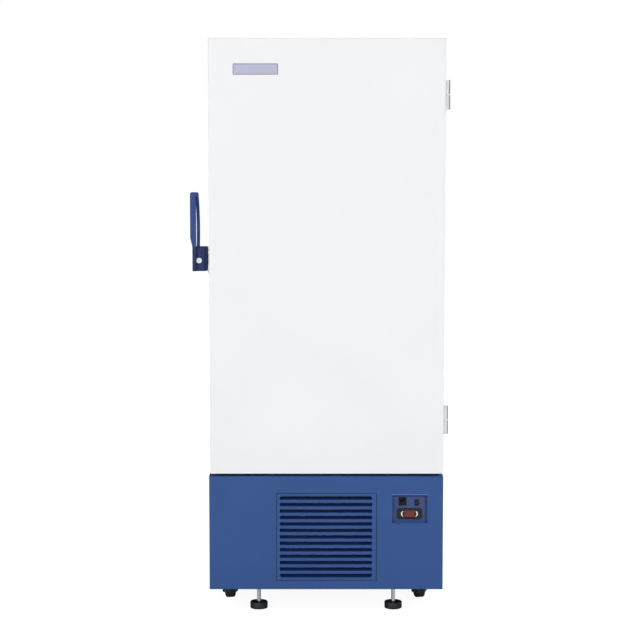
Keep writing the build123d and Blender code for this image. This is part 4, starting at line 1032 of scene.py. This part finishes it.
def floor_material():
    """Pale floor that stays white to the camera and keeps the shadow."""
    n = Nodes("floor_white")
    n.set(Base_Color=(0.9, 0.9, 0.9, 1.0), Roughness=0.9, Specular_IOR_Level=0.1)
    path = n.add("ShaderNodeLightPath")
    glow = n.add("ShaderNodeEmission")
    glow.inputs["Color"].default_value = (1.0, 1.0, 1.0, 1.0)
    glow.inputs["Strength"].default_value = FLOOR_GLOW
    mix = n.add("ShaderNodeMixShader")
    share = n.add("ShaderNodeMath", operation="MULTIPLY")
    share.inputs[1].default_value = FLOOR_GLOW_SHARE
    n.join(path, "Is Camera Ray", share, 0)
    n.join(share, 0, mix, "Fac")
    n.join(n.shader, "BSDF", mix, 1)
    n.join(glow, "Emission", mix, 2)
    n.join(mix, "Shader", n.output, "Surface")
    return n.material


def stage():
    """A wide pale floor under the object."""
    bm = bmesh.new()
    corners = [(-1, -1), (1, -1), (1, 1), (-1, 1)]
    bm.faces.new([bm.verts.new((x * FLOOR_REACH, y * FLOOR_REACH, 0.0)) for x, y in corners])
    mesh = bpy.data.meshes.new("floor")
    bm.to_mesh(mesh)
    bm.free()
    floor = bpy.data.objects.new("floor", mesh)
    bpy.context.scene.collection.objects.link(floor)
    mesh.materials.append(floor_material())


def world():
    """White to the camera, bright in front and dim at the sides in reflections, plain elsewhere."""
    background = bpy.data.worlds.new("studio")
    bpy.context.scene.world = background
    background.use_nodes = True
    tree = background.node_tree
    tree.nodes.clear()
    path = tree.nodes.new("ShaderNodeLightPath")

    def light(strength):
        node = tree.nodes.new("ShaderNodeBackground")
        node.inputs["Color"].default_value = (1.0, 1.0, 1.0, 1.0)
        node.inputs["Strength"].default_value = strength
        return node

    def mixed(share, first, second):
        node = tree.nodes.new("ShaderNodeMixShader")
        tree.links.new(share, node.inputs["Fac"])
        tree.links.new(first.outputs[0], node.inputs[1])
        tree.links.new(second.outputs[0], node.inputs[2])
        return node

    place = tree.nodes.new("ShaderNodeTexCoord")
    axes = tree.nodes.new("ShaderNodeSeparateXYZ")
    tree.links.new(place.outputs["Generated"], axes.inputs["Vector"])
    towards_front = tree.nodes.new("ShaderNodeMapRange")
    towards_front.inputs["From Min"].default_value = 0.1
    towards_front.inputs["From Max"].default_value = -0.75
    towards_front.inputs["To Min"].default_value = SIDE_REFLECTION
    towards_front.inputs["To Max"].default_value = FRONT_REFLECTION
    tree.links.new(axes.outputs["Y"], towards_front.inputs["Value"])
    reflected = light(1.0)
    tree.links.new(towards_front.outputs["Result"], reflected.inputs["Strength"])
    seen = tree.nodes.new("ShaderNodeMath")
    seen.operation = "MAXIMUM"
    tree.links.new(path.outputs["Is Camera Ray"], seen.inputs[0])
    tree.links.new(path.outputs["Is Transmission Ray"], seen.inputs[1])
    unseen = mixed(path.outputs["Is Glossy Ray"], light(PLAIN_LIGHT), reflected)
    whole = mixed(seen.outputs[0], unseen, light(1.0))
    output = tree.nodes.new("ShaderNodeOutputWorld")
    tree.links.new(whole.outputs[0], output.inputs["Surface"])


def soft_light(name, place, size, power, seen, reflected):
    """A large square lamp that looks at the cabinet's middle."""
    lamp = bpy.data.lights.new(name, "AREA")
    lamp.shape = "SQUARE"
    lamp.size = size
    lamp.energy = power
    holder = bpy.data.objects.new(name, lamp)
    bpy.context.scene.collection.objects.link(holder)
    holder.location = place
    direction = LAMP_AIM - Vector(place)
    holder.rotation_euler = direction.to_track_quat("-Z", "Y").to_euler()
    holder.visible_camera = seen
    holder.visible_glossy = reflected


def camera():
    """The photograph's viewpoint."""
    lens = bpy.data.cameras.new("photo_view")
    lens.sensor_width = SENSOR_MM
    lens.sensor_fit = "HORIZONTAL"
    lens.lens = FOCAL_PIXELS / IMAGE_PIXELS * SENSOR_MM
    lens.clip_end = 100.0
    holder = bpy.data.objects.new("photo_view", lens)
    bpy.context.scene.collection.objects.link(holder)
    holder.location = (cabinet_x + CAMERA_SIDE, front_y - CAMERA_BACK, CAMERA_HEIGHT)
    holder.rotation_euler = (math.pi / 2 - CAMERA_PITCH, 0.0, 0.0)
    bpy.context.scene.camera = holder


stage()
world()
for lamp in LAMPS:
    soft_light(*lamp)
camera()
bpy.context.scene.view_settings.view_transform = "Standard"
